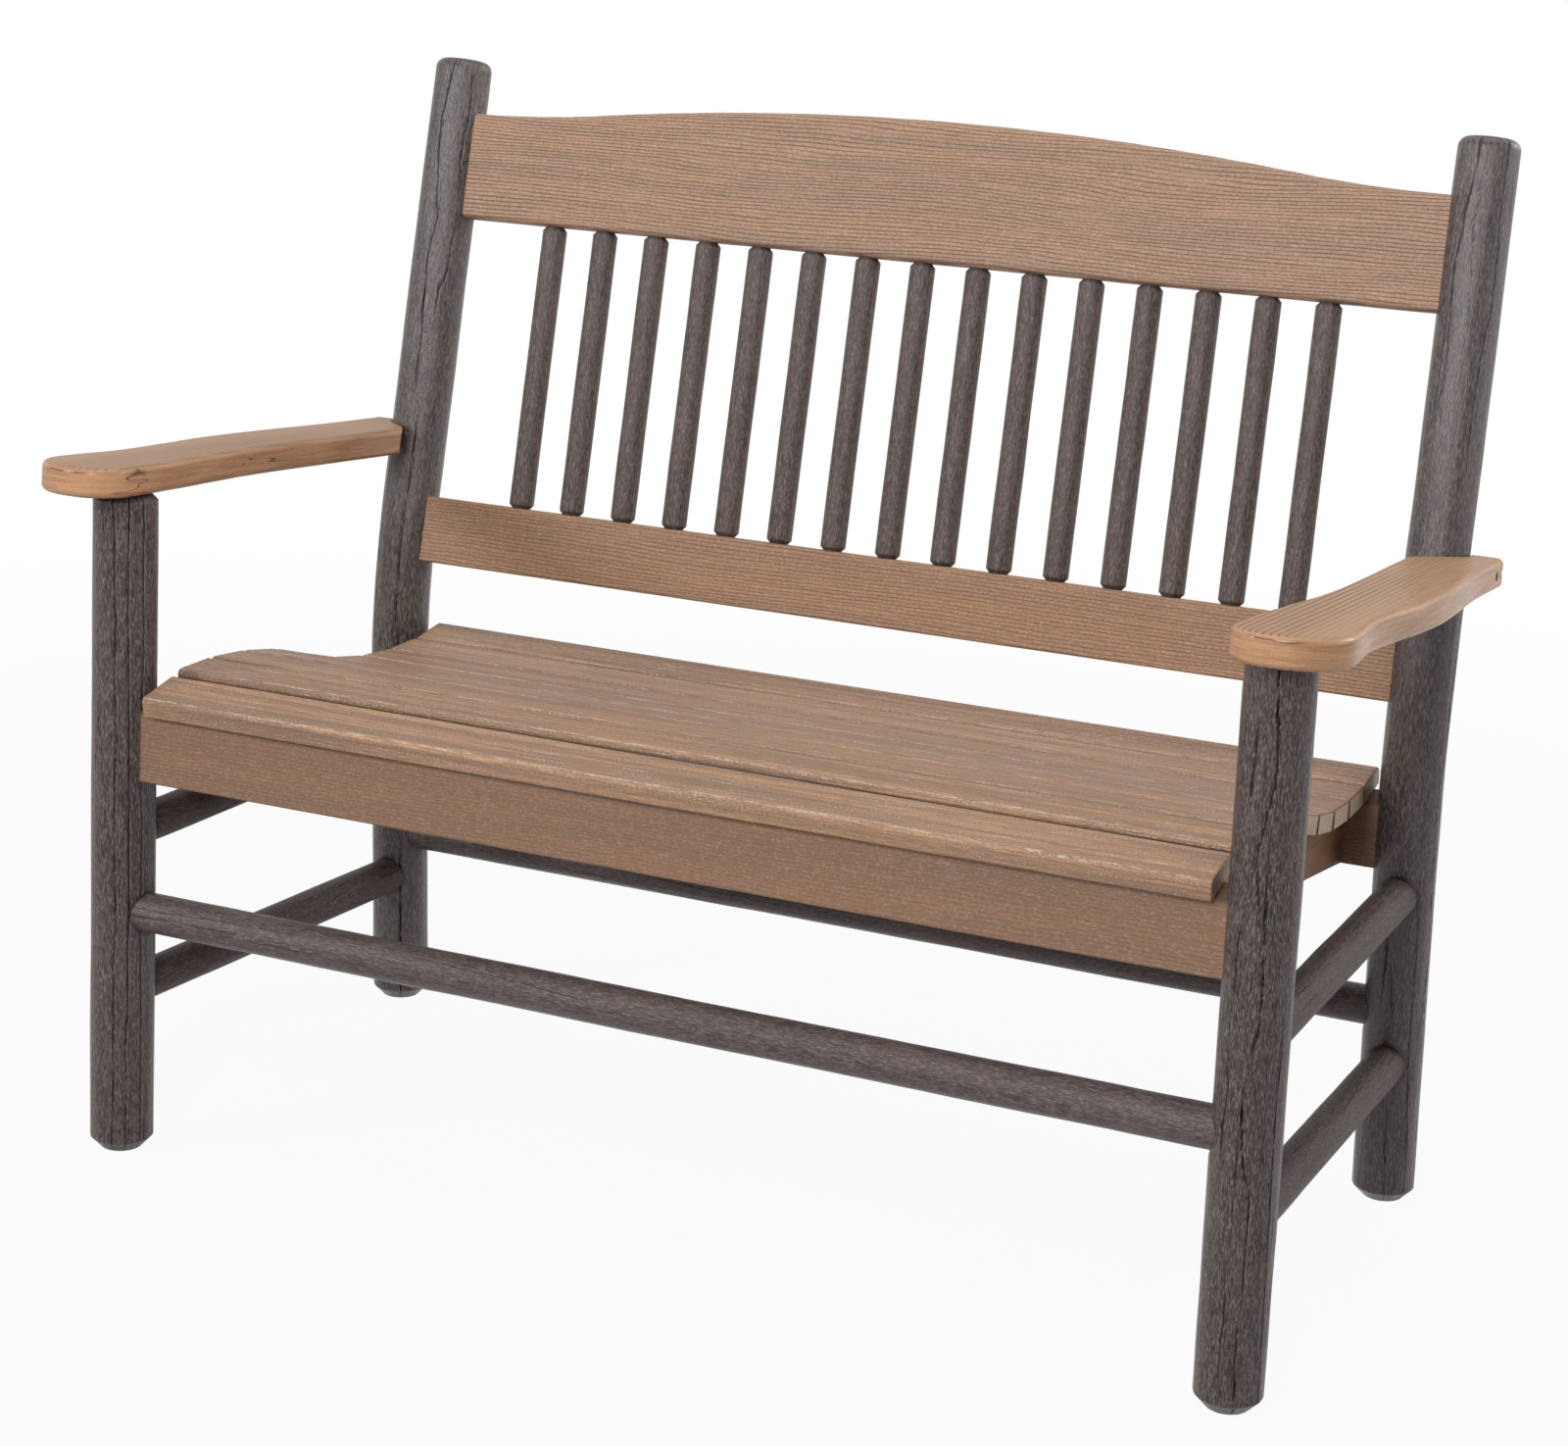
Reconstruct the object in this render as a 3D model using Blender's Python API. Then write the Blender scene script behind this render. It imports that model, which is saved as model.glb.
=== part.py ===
"""Two-seat park bench: round log frame, contoured slat seat, spindle back and paddle arms.

Lengths are metres and +Z is up. The bench faces -Y and +X is the sitter's left.
Places are worked out from the front posts' axes, and the parent empty then centres the bench.
"""
import math

import bmesh
import bpy
from mathutils import Vector

# Clearance between pieces that seat on one another
FIT = 0.0003

# Round posts
POST_DIAMETER = 0.060
POST_SPACING = 1.100
FOOT_SPREAD = 0.499
FOOT_CHAMFER = 0.011
POST_SIDES = 32

# Rear posts: legs lean forward, backs lean to the rear, one bend between them
LEG_LEAN = math.radians(3.0)
BACK_LEAN = math.radians(10.86)
BEND_HEIGHT = 0.440
BEND_RADIUS = 0.900
BEND_STEPS = 9
POST_TOP_RISE = 0.580
POST_TOP_ROUND = 0.010

# Front posts end in a round tenon under the arm
FRONT_TOP_CHAMFER = 0.007
ARM_TENON_DIAMETER = 0.034
ARM_TENON_LENGTH = 0.014

# Rungs, housed in bored holes
RUNG_DIAMETER = 0.038
RUNG_SEAT_DEPTH = 0.022
RUNG_END_CHAMFER = 0.002
RUNG_SIDES = 24
FRONT_RUNG_HEIGHT = 0.235
REAR_RUNG_HEIGHT = 0.1892
SIDE_UPPER_HEIGHT = 0.309
SIDE_LOWER_FRONT_HEIGHT = 0.1545
SIDE_LOWER_REAR_HEIGHT = 0.141

# Boards
BOARD_THICKNESS = 0.025
BOARD_EDGE_ROUND = 0.003
BOARD_TENON = 0.016
HOUSING_DEPTH = 0.006
SUPPORT_INSET = 0.029

# Seat frame, measured down from the front slat's top front edge
FRONT_APRON_DROP = 0.0845
REAR_APRON_DROP = 0.1185
REAR_APRON_AXIS_DROP = 0.0825
SUPPORT_FRONT_DROP = 0.0575

# Seat slats, from the tipped front slat to the raised rear one
SLAT_TILTS_DEG = (14.0, 1.6, -4.3, -10.0, -16.0, -15.3, -9.8, -3.5, 1.5, 9.0)
SLAT_THICKNESS = 0.019
SLAT_JOINT = 0.0015
SLAT_STEP = 0.0034
SLAT_END_CLEARANCE = 0.007
SLAT_EDGE_ROUND = 0.003
SLAT_NOSE_ROUND = 0.005
SLAT_TAIL_ROUND = 0.008
SEAT_FRONT_HEIGHT = 0.4475
SEAT_NOSE = 0.026
SEAT_REAR_OVERHANG = 0.023

# Back, measured up the lean from the bend
LOWER_RAIL_RISE = 0.048
LOWER_RAIL_HEIGHT = 0.069
CREST_RISE = 0.413
CREST_END_HEIGHT = 0.111
CREST_ARCH = 0.0305
CREST_ARCH_TURN = 0.72
CREST_EDGE_ROUND = 0.006
CREST_STATIONS = 24
SPINDLE_COUNT = 15
SPINDLE_PITCH = 0.0596
SPINDLE_DIAMETER = 0.026
SPINDLE_TENON_DIAMETER = 0.018
SPINDLE_TENON_LENGTH = 0.020
SPINDLE_SIDES = 16

# Arms, in plan from the front post's axis: outward and to the rear
ARM_TOP_HEIGHT = 0.6607
ARM_TILT = math.radians(3.5)
ARM_THICKNESS = 0.0275
ARM_EDGE_ROUND = 0.006
ARM_FRONT_OVERHANG = 0.073
ARM_FRONT_OUTER_CORNER = 0.052
ARM_FRONT_INNER_CORNER = 0.036
ARM_TAIL_CORNER = 0.009
ARM_TAIL_OVERHANG = 0.013
ARM_FRONT_OUTER = 0.064
ARM_NECK_OUTER = 0.058
ARM_BELLY_OUTER = 0.0695
ARM_TAIL_OUTER = 0.0605
ARM_NECK_PLACE = 0.060
ARM_BELLY_PLACE = 0.245
ARM_TAIL_PLACE = 0.450
ARM_FRONT_INNER = 0.031
ARM_WAIST_INNER = 0.0145
ARM_REAR_INNER = 0.0175
ARM_WAIST_PLACE = 0.225
ARM_REAR_PLACE = 0.450
ARM_OUTLINE_STEP = 0.026
NOTCH_ANGLE = math.radians(45.0)

# Screws through each arm's tail into the rear post
SCREW_HEAD_DIAMETER = 0.0075
SCREW_HEAD_LENGTH = 0.003
SCREW_SHANK_DIAMETER = 0.0045
SCREW_POST_DEPTH = 0.020
SCREW_RECESS = 0.003
SCREW_PITCH = 0.022
SCREW_SHIFT = -0.006
SCREW_SIDES = 12

CORNER_STEPS = 3

# Worked out from the sizes above
POST_RADIUS = POST_DIAMETER / 2
POST_X = POST_SPACING / 2
CLEAR_HALF = POST_X - POST_RADIUS
BOARD_HALF = BOARD_THICKNESS / 2
BOARD_HALF_LENGTH = CLEAR_HALF + BOARD_TENON
LOWER_RAIL_TOP = LOWER_RAIL_RISE + LOWER_RAIL_HEIGHT
FRONT_APRON_BOTTOM = SEAT_FRONT_HEIGHT - FRONT_APRON_DROP
REAR_APRON_BOTTOM = SEAT_FRONT_HEIGHT - REAR_APRON_DROP
REAR_APRON_AXIS_HEIGHT = SEAT_FRONT_HEIGHT - REAR_APRON_AXIS_DROP
SUPPORT_FRONT_BOTTOM = SEAT_FRONT_HEIGHT - SUPPORT_FRONT_DROP


class RearPath:
    """Axis of a rear post in the Y-Z plane: a straight leg, one arc and a straight back."""

    def __init__(self):
        tangent = BEND_RADIUS * math.tan((LEG_LEAN + BACK_LEAN) / 2)
        self.bend = (FOOT_SPREAD - BEND_HEIGHT * math.tan(LEG_LEAN), BEND_HEIGHT)
        start_y = self.bend[0] + tangent * math.sin(LEG_LEAN)
        start_z = self.bend[1] - tangent * math.cos(LEG_LEAN)
        self.centre = (
            start_y + BEND_RADIUS * math.cos(LEG_LEAN),
            start_z + BEND_RADIUS * math.sin(LEG_LEAN),
        )
        self.arc_start_height = start_z
        self.arc_end_height = self.bend[1] + tangent * math.cos(BACK_LEAN)

    def arc_point(self, lean):
        """Point of the arc where the axis has this lean."""
        return (
            self.centre[0] - BEND_RADIUS * math.cos(lean),
            self.centre[1] + BEND_RADIUS * math.sin(lean),
        )

    def back_point(self, rise, offset=0.0):
        """Point this far up the back from the bend, offset to the rear of its plane."""
        return (
            self.bend[0] + rise * math.sin(BACK_LEAN) + offset * math.cos(BACK_LEAN),
            self.bend[1] + rise * math.cos(BACK_LEAN) - offset * math.sin(BACK_LEAN),
        )

    def y_at(self, height):
        """Distance behind the front posts' axes at this height."""
        if height <= self.arc_start_height:
            return FOOT_SPREAD - height * math.tan(LEG_LEAN)
        if height >= self.arc_end_height:
            return self.bend[0] + (height - self.bend[1]) * math.tan(BACK_LEAN)
        across = math.sqrt(BEND_RADIUS ** 2 - (height - self.centre[1]) ** 2)
        return self.centre[0] - across


class SeatCurve:
    """Undersides of the slats as a chain of straight runs, front to rear, in the Y-Z plane."""

    def __init__(self, rear_edge):
        self.tilts = [math.radians(tilt) for tilt in SLAT_TILTS_DEG]
        turns = [after - before for before, after in zip(self.tilts, self.tilts[1:])]
        joints = [SLAT_JOINT + max(0.0, SLAT_THICKNESS * turn) for turn in turns]
        bisectors = [(a + b) / 2 for a, b in zip(self.tilts, self.tilts[1:])]
        first, last = self.tilts[0], self.tilts[-1]
        start_y = -SEAT_NOSE + SLAT_THICKNESS * math.sin(first)
        end_y = rear_edge + SLAT_THICKNESS * math.sin(last)
        joint_run = sum(gap * math.cos(angle) for gap, angle in zip(joints, bisectors))
        self.slat_width = (end_y - start_y - joint_run) / sum(math.cos(t) for t in self.tilts)
        y = start_y
        z = SEAT_FRONT_HEIGHT - SLAT_THICKNESS * math.cos(first)
        self.starts = []
        for index, tilt in enumerate(self.tilts):
            self.starts.append((y, z))
            y += self.slat_width * math.cos(tilt)
            z += self.slat_width * math.sin(tilt)
            if index == 0:
                z += SLAT_STEP
            if index < len(joints):
                y += joints[index] * math.cos(bisectors[index])
                z += joints[index] * math.sin(bisectors[index])

    def height_on(self, index, y):
        """Height of one slat's underside line at y, less the seat clearance."""
        start_y, start_z = self.starts[index]
        tilt = self.tilts[index]
        return start_z + (y - start_y) * math.tan(tilt) - FIT / math.cos(tilt)

    def corner_between(self, index):
        """Where the underside lines of this slat and the next one cross, by Y."""
        slope_a = math.tan(self.tilts[index])
        slope_b = math.tan(self.tilts[index + 1])
        lift = self.height_on(index + 1, 0.0) - self.height_on(index, 0.0)
        return lift / (slope_a - slope_b)

    def bearing(self, y_from, y_to):
        """Top edge of a bearer that carries the slats between two Y values, front to rear."""
        corners = [self.corner_between(index) for index in range(len(self.tilts) - 1)]
        edge = []
        for index in range(len(self.tilts)):
            low = corners[index - 1] if index > 0 else -math.inf
            high = corners[index] if index < len(corners) else math.inf
            if high <= y_from or low >= y_to:
                continue
            if not edge:
                edge.append((y_from, self.height_on(index, y_from)))
            end = min(high, y_to)
            edge.append((end, self.height_on(index, end)))
        return edge


PATH = RearPath()
REAR_APRON_Y = PATH.y_at(REAR_APRON_AXIS_HEIGHT)
SEAT = SeatCurve(REAR_APRON_Y + SEAT_REAR_OVERHANG)


def arm_top(y):
    """Height of the arms' top faces at y."""
    return ARM_TOP_HEIGHT - y * math.tan(ARM_TILT)


def bench_centre():
    """Middle of the bench front to rear, between the arms' fronts and the post tops' backs."""
    front = -ARM_FRONT_OVERHANG * math.cos(ARM_TILT)
    top_y, _ = PATH.back_point(POST_TOP_RISE - POST_TOP_ROUND)
    rear = top_y + (POST_RADIUS - POST_TOP_ROUND) * math.cos(BACK_LEAN) + POST_TOP_ROUND
    return (front + rear) / 2


# Outlines

def rounded(corners, radii, steps=CORNER_STEPS):
    """Outline with each corner replaced by an arc; a radius of 0 keeps its corner."""
    outline = []
    for index, corner in enumerate(corners):
        radius = radii[index] if isinstance(radii, (list, tuple)) else radii
        here = Vector(corner)
        back = (Vector(corners[index - 1]) - here).normalized()
        ahead = (Vector(corners[(index + 1) % len(corners)]) - here).normalized()
        if radius <= 0.0:
            outline.append(tuple(here))
            continue
        half = back.angle(ahead) / 2
        centre = here + (back + ahead).normalized() * (radius / math.sin(half))
        reach = radius / math.tan(half)
        first = here + back * reach - centre
        last = here + ahead * reach - centre
        sweep = math.pi - 2 * half
        for step in range(steps + 1):
            part = step / steps
            blend = first * math.sin((1 - part) * sweep) + last * math.sin(part * sweep)
            outline.append(tuple(centre + blend / math.sin(sweep)))
    return outline


def grown(corners, margin):
    """Convex outline moved outward by a margin."""
    centre = sum((Vector(corner) for corner in corners), Vector((0.0, 0.0))) / len(corners)
    result = []
    for index, corner in enumerate(corners):
        here = Vector(corner)
        normals = []
        for other in (corners[index - 1], corners[(index + 1) % len(corners)]):
            along = (Vector(other) - here).normalized()
            normal = Vector((along.y, -along.x))
            normals.append(normal if normal.dot(here - centre) > 0 else -normal)
        bisector = (normals[0] + normals[1]).normalized()
        result.append(tuple(here + bisector * (margin / bisector.dot(normals[0]))))
    return result


def eased(keys, place):
    """Value at a place along keys, swinging between them by half cosine waves."""
    if place <= keys[0][0]:
        return keys[0][1]
    for (place_a, value_a), (place_b, value_b) in zip(keys, keys[1:]):
        if place <= place_b:
            part = (place - place_a) / (place_b - place_a)
            return value_a + (value_b - value_a) * (1 - math.cos(math.pi * part)) / 2
    return keys[-1][1]


# Meshes

def loft(mesh, rings):
    """Skin a row of equal rings and cap both ends."""
    rows = [[mesh.verts.new(point) for point in ring] for ring in rings]
    count = len(rows[0])
    for lower, upper in zip(rows, rows[1:]):
        for index in range(count):
            following = (index + 1) % count
            mesh.faces.new((lower[index], lower[following], upper[following], upper[index]))
    mesh.faces.new(rows[0][::-1])
    mesh.faces.new(rows[-1])
    return mesh


def prism(mesh, outline, x_from, x_to):
    """Extrude a Y-Z outline along X."""
    return loft(mesh, [[(x, y, z) for y, z in outline] for x in (x_from, x_to)])


def circle(sides):
    """Unit circle as cosine and sine pairs."""
    turn = 2 * math.pi / sides
    return [(math.cos(step * turn), math.sin(step * turn)) for step in range(sides)]


def turned(mesh, profile, sides):
    """Turn a profile of radius and height pairs about Z."""
    rings = [[(r * c, r * s, z) for c, s in circle(sides)] for r, z in profile]
    return loft(mesh, rings)


def rod(mesh, start, end, radius, sides):
    """Plain round bar between two points."""
    axis = (end - start).normalized()
    side = axis.orthogonal().normalized()
    other = axis.cross(side)
    ring = [(side * c + other * s) * radius for c, s in circle(sides)]
    return loft(mesh, [[point + place for place in ring] for point in (start, end)])


# Objects

def clear_scene():
    """Remove whatever the scene holds."""
    for item in list(bpy.data.objects):
        bpy.data.objects.remove(item, do_unlink=True)


def make_material(name, colour, roughness, metallic=0.0):
    """Plain Principled material."""
    material = bpy.data.materials.new(name)
    material.use_nodes = True
    shader = material.node_tree.nodes["Principled BSDF"]
    shader.inputs["Base Color"].default_value = (*colour, 1.0)
    shader.inputs["Roughness"].default_value = roughness
    shader.inputs["Metallic"].default_value = metallic
    material.diffuse_color = (*colour, 1.0)
    return material


def make_mesh(name, mesh):
    """Turn an edit mesh into smooth-shaded mesh data with sharp creases."""
    bmesh.ops.recalc_face_normals(mesh, faces=mesh.faces[:])
    data = bpy.data.meshes.new(name)
    mesh.to_mesh(data)
    mesh.free()
    data.shade_smooth()
    data.set_sharp_from_angle(angle=math.radians(35.0))
    return data


def add_object(name, data, parent, location=(0.0, 0.0, 0.0), pitch=0.0):
    """Place mesh data as an object under the bench's empty, tipped about X."""
    item = bpy.data.objects.new(name, data)
    bpy.context.scene.collection.objects.link(item)
    item.parent = parent
    item.location = location
    item.rotation_euler = (pitch, 0.0, 0.0)
    return item


def add_piece(name, mesh, material, parent, location=(0.0, 0.0, 0.0), pitch=0.0):
    """One sub-part with its own material."""
    data = make_mesh(name, mesh)
    data.materials.append(material)
    return add_object(name, data, parent, location, pitch)


def cut(target, mesh):
    """Cut a mesh, given in the target's own space, out of it."""
    data = make_mesh(target.name + "_cutter", mesh)
    cutter = add_object(data.name, data, target)
    cutter.hide_render = True
    cutter.display_type = "WIRE"
    modifier = target.modifiers.new("joinery", "BOOLEAN")
    modifier.operation = "DIFFERENCE"
    modifier.solver = "EXACT"
    modifier.object = cutter


# Boards' sections, shared by the boards and their mortises

def apron_section(y_axis, bottom):
    """Corners of an apron whose top follows the slats above it."""
    front, rear = y_axis - BOARD_HALF, y_axis + BOARD_HALF
    return [(rear, bottom), (front, bottom)] + SEAT.bearing(front, rear)


def back_section(rise, height):
    """Corners of a rail of the back, in the bench's Y-Z plane."""
    places = (
        (rise, -BOARD_HALF),
        (rise + height, -BOARD_HALF),
        (rise + height, BOARD_HALF),
        (rise, BOARD_HALF),
    )
    return [PATH.back_point(*place) for place in places]


def side_rung_ends(front_height, rear_height):
    """Axis points of a side rung on the front and rear posts' axes, at X 0."""
    front = Vector((0.0, 0.0, front_height))
    rear = Vector((0.0, PATH.y_at(rear_height), rear_height))
    return front, rear


SIDE_RUNGS = {
    "upper": side_rung_ends(SIDE_UPPER_HEIGHT, SIDE_UPPER_HEIGHT),
    "lower": side_rung_ends(SIDE_LOWER_FRONT_HEIGHT, SIDE_LOWER_REAR_HEIGHT),
}


def screw_places():
    """Y and Z of the two screw axes of an arm's tail, front one first."""
    middle_y = PATH.y_at(arm_top(PATH.y_at(ARM_TOP_HEIGHT)) - ARM_THICKNESS / 2)
    places = []
    for shift in (-SCREW_PITCH / 2, SCREW_PITCH / 2):
        y = middle_y + SCREW_SHIFT + shift
        places.append((y, arm_top(y) - ARM_THICKNESS / 2 / math.cos(ARM_TILT)))
    return places


# Posts

def bore(mesh, start, direction, radius, sides):
    """Cutter for a round hole from its bottom, near the post's axis, out past the post."""
    return rod(mesh, start, start + direction * POST_DIAMETER, radius, sides)


def rung_bores(mesh, side, x_rung_axis, rung_keys):
    """Holes for the rung along X and for the side rungs of one post at X 0."""
    hole = RUNG_DIAMETER / 2 + FIT
    seat = POST_RADIUS - RUNG_SEAT_DEPTH - FIT
    inward = Vector((-side, 0.0, 0.0))
    bore(mesh, x_rung_axis + inward * seat, inward, hole, RUNG_SIDES)
    for axis_point, direction in rung_keys:
        bore(mesh, axis_point + direction * seat, direction, hole, RUNG_SIDES)


def mortise(mesh, section, side):
    """Cutter for a board's end in a post at X 0."""
    bottom = -side * (CLEAR_HALF + POST_RADIUS - BOARD_HALF_LENGTH - FIT)
    prism(mesh, grown(section, FIT), bottom, -side * POST_DIAMETER)


def build_front_post(name, side, material, parent):
    """Upright post with chamfered foot and a sawn top that carries the arm on a tenon."""
    slope = math.tan(ARM_TILT)
    top = arm_top(0.0) - ARM_THICKNESS / math.cos(ARM_TILT) - FIT
    tenon = ARM_TENON_DIAMETER / 2
    rows = [
        (POST_RADIUS - FOOT_CHAMFER, 0.0, 0.0),
        (POST_RADIUS, FOOT_CHAMFER, 0.0),
        (POST_RADIUS, top - FRONT_TOP_CHAMFER, slope),
        (POST_RADIUS - FRONT_TOP_CHAMFER, top, slope),
        (tenon, top, slope),
        (tenon, top + ARM_TENON_LENGTH, slope),
    ]
    rings = []
    for radius, height, fall in rows:
        ring = [(radius * c, radius * s, height - radius * s * fall) for c, s in circle(POST_SIDES)]
        rings.append(ring)
    post = add_piece(name, loft(bmesh.new(), rings), material, parent, (side * POST_X, 0.0, 0.0))
    holes = bmesh.new()
    rung_keys = [(front, (rear - front).normalized()) for front, rear in SIDE_RUNGS.values()]
    rung_bores(holes, side, Vector((0.0, 0.0, FRONT_RUNG_HEIGHT)), rung_keys)
    mortise(holes, apron_section(0.0, FRONT_APRON_BOTTOM), side)
    cut(post, holes)


def rear_post_rings():
    """Rings of a rear post: level foot, leg, bend, back and rounded top."""
    stations = [
        ((FOOT_SPREAD, 0.0), 0.0, POST_RADIUS - FOOT_CHAMFER),
        ((PATH.y_at(FOOT_CHAMFER), FOOT_CHAMFER), 0.0, POST_RADIUS),
    ]
    for step in range(BEND_STEPS + 1):
        lean = -LEG_LEAN + (LEG_LEAN + BACK_LEAN) * step / BEND_STEPS
        stations.append((PATH.arc_point(lean), lean, POST_RADIUS))
    for step in range(CORNER_STEPS + 1):
        angle = math.pi / 2 * step / CORNER_STEPS
        rise = POST_TOP_RISE - POST_TOP_ROUND * (1 - math.sin(angle))
        radius = POST_RADIUS - POST_TOP_ROUND * (1 - math.cos(angle))
        stations.append((PATH.back_point(rise), BACK_LEAN, radius))
    rings = []
    for (y, z), lean, radius in stations:
        across, down = radius * math.cos(lean), radius * math.sin(lean)
        rings.append([(radius * c, y + across * s, z - down * s) for c, s in circle(POST_SIDES)])
    return rings


def build_rear_post(name, side, material, parent):
    """Bent post that carries the back, the rear apron and the arm's tail."""
    mesh = loft(bmesh.new(), rear_post_rings())
    post = add_piece(name, mesh, material, parent, (side * POST_X, 0.0, 0.0))
    holes = bmesh.new()
    rear_axis = Vector((0.0, PATH.y_at(REAR_RUNG_HEIGHT), REAR_RUNG_HEIGHT))
    rung_keys = [(rear, (front - rear).normalized()) for front, rear in SIDE_RUNGS.values()]
    rung_bores(holes, side, rear_axis, rung_keys)
    mortise(holes, apron_section(REAR_APRON_Y, REAR_APRON_BOTTOM), side)
    mortise(holes, back_section(LOWER_RAIL_RISE, LOWER_RAIL_HEIGHT), side)
    mortise(holes, back_section(CREST_RISE, CREST_END_HEIGHT), side)
    outward = Vector((side, 0.0, 0.0))
    for y, z in screw_places():
        start = Vector((0.0, y, z)) + outward * (POST_RADIUS - SCREW_POST_DEPTH - FIT)
        bore(holes, start, outward, SCREW_SHANK_DIAMETER / 2 + FIT, SCREW_SIDES)
    cut(post, holes)


# Rungs

def build_rung(name, start, end, x, material, parent):
    """Round rung between two post axes, with lightly chamfered ends in its bores."""
    axis = end - start
    reach = POST_RADIUS - RUNG_SEAT_DEPTH
    length = axis.length - 2 * reach
    radius = RUNG_DIAMETER / 2
    profile = [
        (radius - RUNG_END_CHAMFER, reach),
        (radius, reach + RUNG_END_CHAMFER),
        (radius, reach + length - RUNG_END_CHAMFER),
        (radius - RUNG_END_CHAMFER, reach + length),
    ]
    rung = add_piece(name, turned(bmesh.new(), profile, RUNG_SIDES), material, parent)
    rung.location = start + Vector((x, 0.0, 0.0))
    rung.rotation_euler = axis.to_track_quat("Z", "Y").to_euler()


def build_rungs(material, parent):
    """Front and rear stretchers and two on each side."""
    for name, y, height in (
        ("front_stretcher", 0.0, FRONT_RUNG_HEIGHT),
        ("rear_stretcher", PATH.y_at(REAR_RUNG_HEIGHT), REAR_RUNG_HEIGHT),
    ):
        ends = [Vector((x, y, height)) for x in (-POST_X, POST_X)]
        build_rung(name, ends[0], ends[1], 0.0, material, parent)
    for level, (front, rear) in SIDE_RUNGS.items():
        for label, side in (("left", -1), ("right", 1)):
            name = f"side_stretcher_{level}_{label}"
            build_rung(name, front, rear, side * POST_X, material, parent)


# Seat

def support_xs():
    """Middle planes of the three bearers under the seat."""
    outer = CLEAR_HALF - SUPPORT_INSET - BOARD_HALF
    return {"left": -outer, "centre": 0.0, "right": outer}


def support_section():
    """Side outline of a bearer, housed in both aprons, with its top cut to the slats."""
    front = BOARD_HALF - HOUSING_DEPTH + FIT
    rear = REAR_APRON_Y - BOARD_HALF + HOUSING_DEPTH - FIT
    return [(rear, REAR_APRON_BOTTOM), (front, SUPPORT_FRONT_BOTTOM)] + SEAT.bearing(front, rear)


def build_supports(material, parent):
    """Left, centre and right bearers."""
    for label, x in support_xs().items():
        mesh = prism(bmesh.new(), support_section(), x - BOARD_HALF, x + BOARD_HALF)
        add_piece(f"seat_support_{label}", mesh, material, parent)


def build_apron(name, y_axis, bottom, housing_bottom, inner_face, material, parent):
    """Apron board tenoned into the posts, with housings for the bearers in its inner face."""
    section = apron_section(y_axis, bottom)
    radii = [BOARD_EDGE_ROUND, BOARD_EDGE_ROUND] + [0.0] * (len(section) - 2)
    outline = rounded(section, radii)
    mesh = prism(bmesh.new(), outline, -BOARD_HALF_LENGTH, BOARD_HALF_LENGTH)
    apron = add_piece(name, mesh, material, parent)
    face = y_axis + inner_face * BOARD_HALF
    deep = face - inner_face * HOUSING_DEPTH
    past = face + inner_face * BOARD_THICKNESS
    high = max(z for _, z in section) + BOARD_THICKNESS
    housings = bmesh.new()
    for x in support_xs().values():
        corners = [(deep, housing_bottom), (past, housing_bottom), (past, high), (deep, high)]
        prism(housings, corners, x - BOARD_HALF - FIT, x + BOARD_HALF + FIT)
    cut(apron, housings)


def build_aprons(material, parent):
    """Front apron with stopped housings, rear apron with housings right through."""
    fall = SUPPORT_FRONT_BOTTOM - REAR_APRON_BOTTOM
    run = support_section()[0][0] - support_section()[1][0]
    front_stop = SUPPORT_FRONT_BOTTOM - HOUSING_DEPTH * fall / run - FIT
    rear_through = REAR_APRON_BOTTOM - BOARD_THICKNESS
    build_apron("front_apron", 0.0, FRONT_APRON_BOTTOM, front_stop, 1, material, parent)
    build_apron("rear_apron", REAR_APRON_Y, REAR_APRON_BOTTOM, rear_through, -1, material, parent)


def build_slats(material, parent):
    """Slats laid along the seat curve, eased on top, with a rounded nose and tail."""
    half = CLEAR_HALF - SLAT_END_CLEARANCE
    width = SEAT.slat_width
    corners = [(0.0, 0.0), (width, 0.0), (width, SLAT_THICKNESS), (0.0, SLAT_THICKNESS)]
    last = len(SEAT.tilts) - 1
    for index, ((y, z), tilt) in enumerate(zip(SEAT.starts, SEAT.tilts)):
        front = SLAT_NOSE_ROUND if index <= 1 else SLAT_EDGE_ROUND
        rear = SLAT_TAIL_ROUND if index == last else SLAT_EDGE_ROUND
        outline = rounded(corners, (0.0, 0.0, rear, front))
        mesh = prism(bmesh.new(), outline, -half, half)
        add_piece(f"seat_slat_{index + 1:02d}", mesh, material, parent, (0.0, y, z), tilt)


# Back

def spindle_xs():
    """Middle lines of the spindles along the rails."""
    middle = (SPINDLE_COUNT - 1) / 2
    return [(index - middle) * SPINDLE_PITCH for index in range(SPINDLE_COUNT)]


def spindle_bores(target, rim, downward):
    """Blind holes for the spindle tenons in a rail's edge at this height."""
    depth = SPINDLE_TENON_LENGTH + FIT
    radius = SPINDLE_TENON_DIAMETER / 2 + FIT
    holes = bmesh.new()
    for x in spindle_xs():
        bottom = Vector((x, 0.0, rim + (-depth if downward else depth)))
        outside = Vector((x, 0.0, rim + (depth if downward else -depth)))
        rod(holes, bottom, outside, radius, SPINDLE_SIDES)
    cut(target, holes)


def crest_height(x):
    """Height of the crest rail at x: an arch that turns over into flat ends."""
    part = min(abs(x) / CLEAR_HALF, 1.0)
    if part < CREST_ARCH_TURN:
        lift = 1.0 - part ** 2 / CREST_ARCH_TURN
    else:
        lift = (1.0 - part) ** 2 / (1.0 - CREST_ARCH_TURN)
    return CREST_END_HEIGHT + CREST_ARCH * lift


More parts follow.
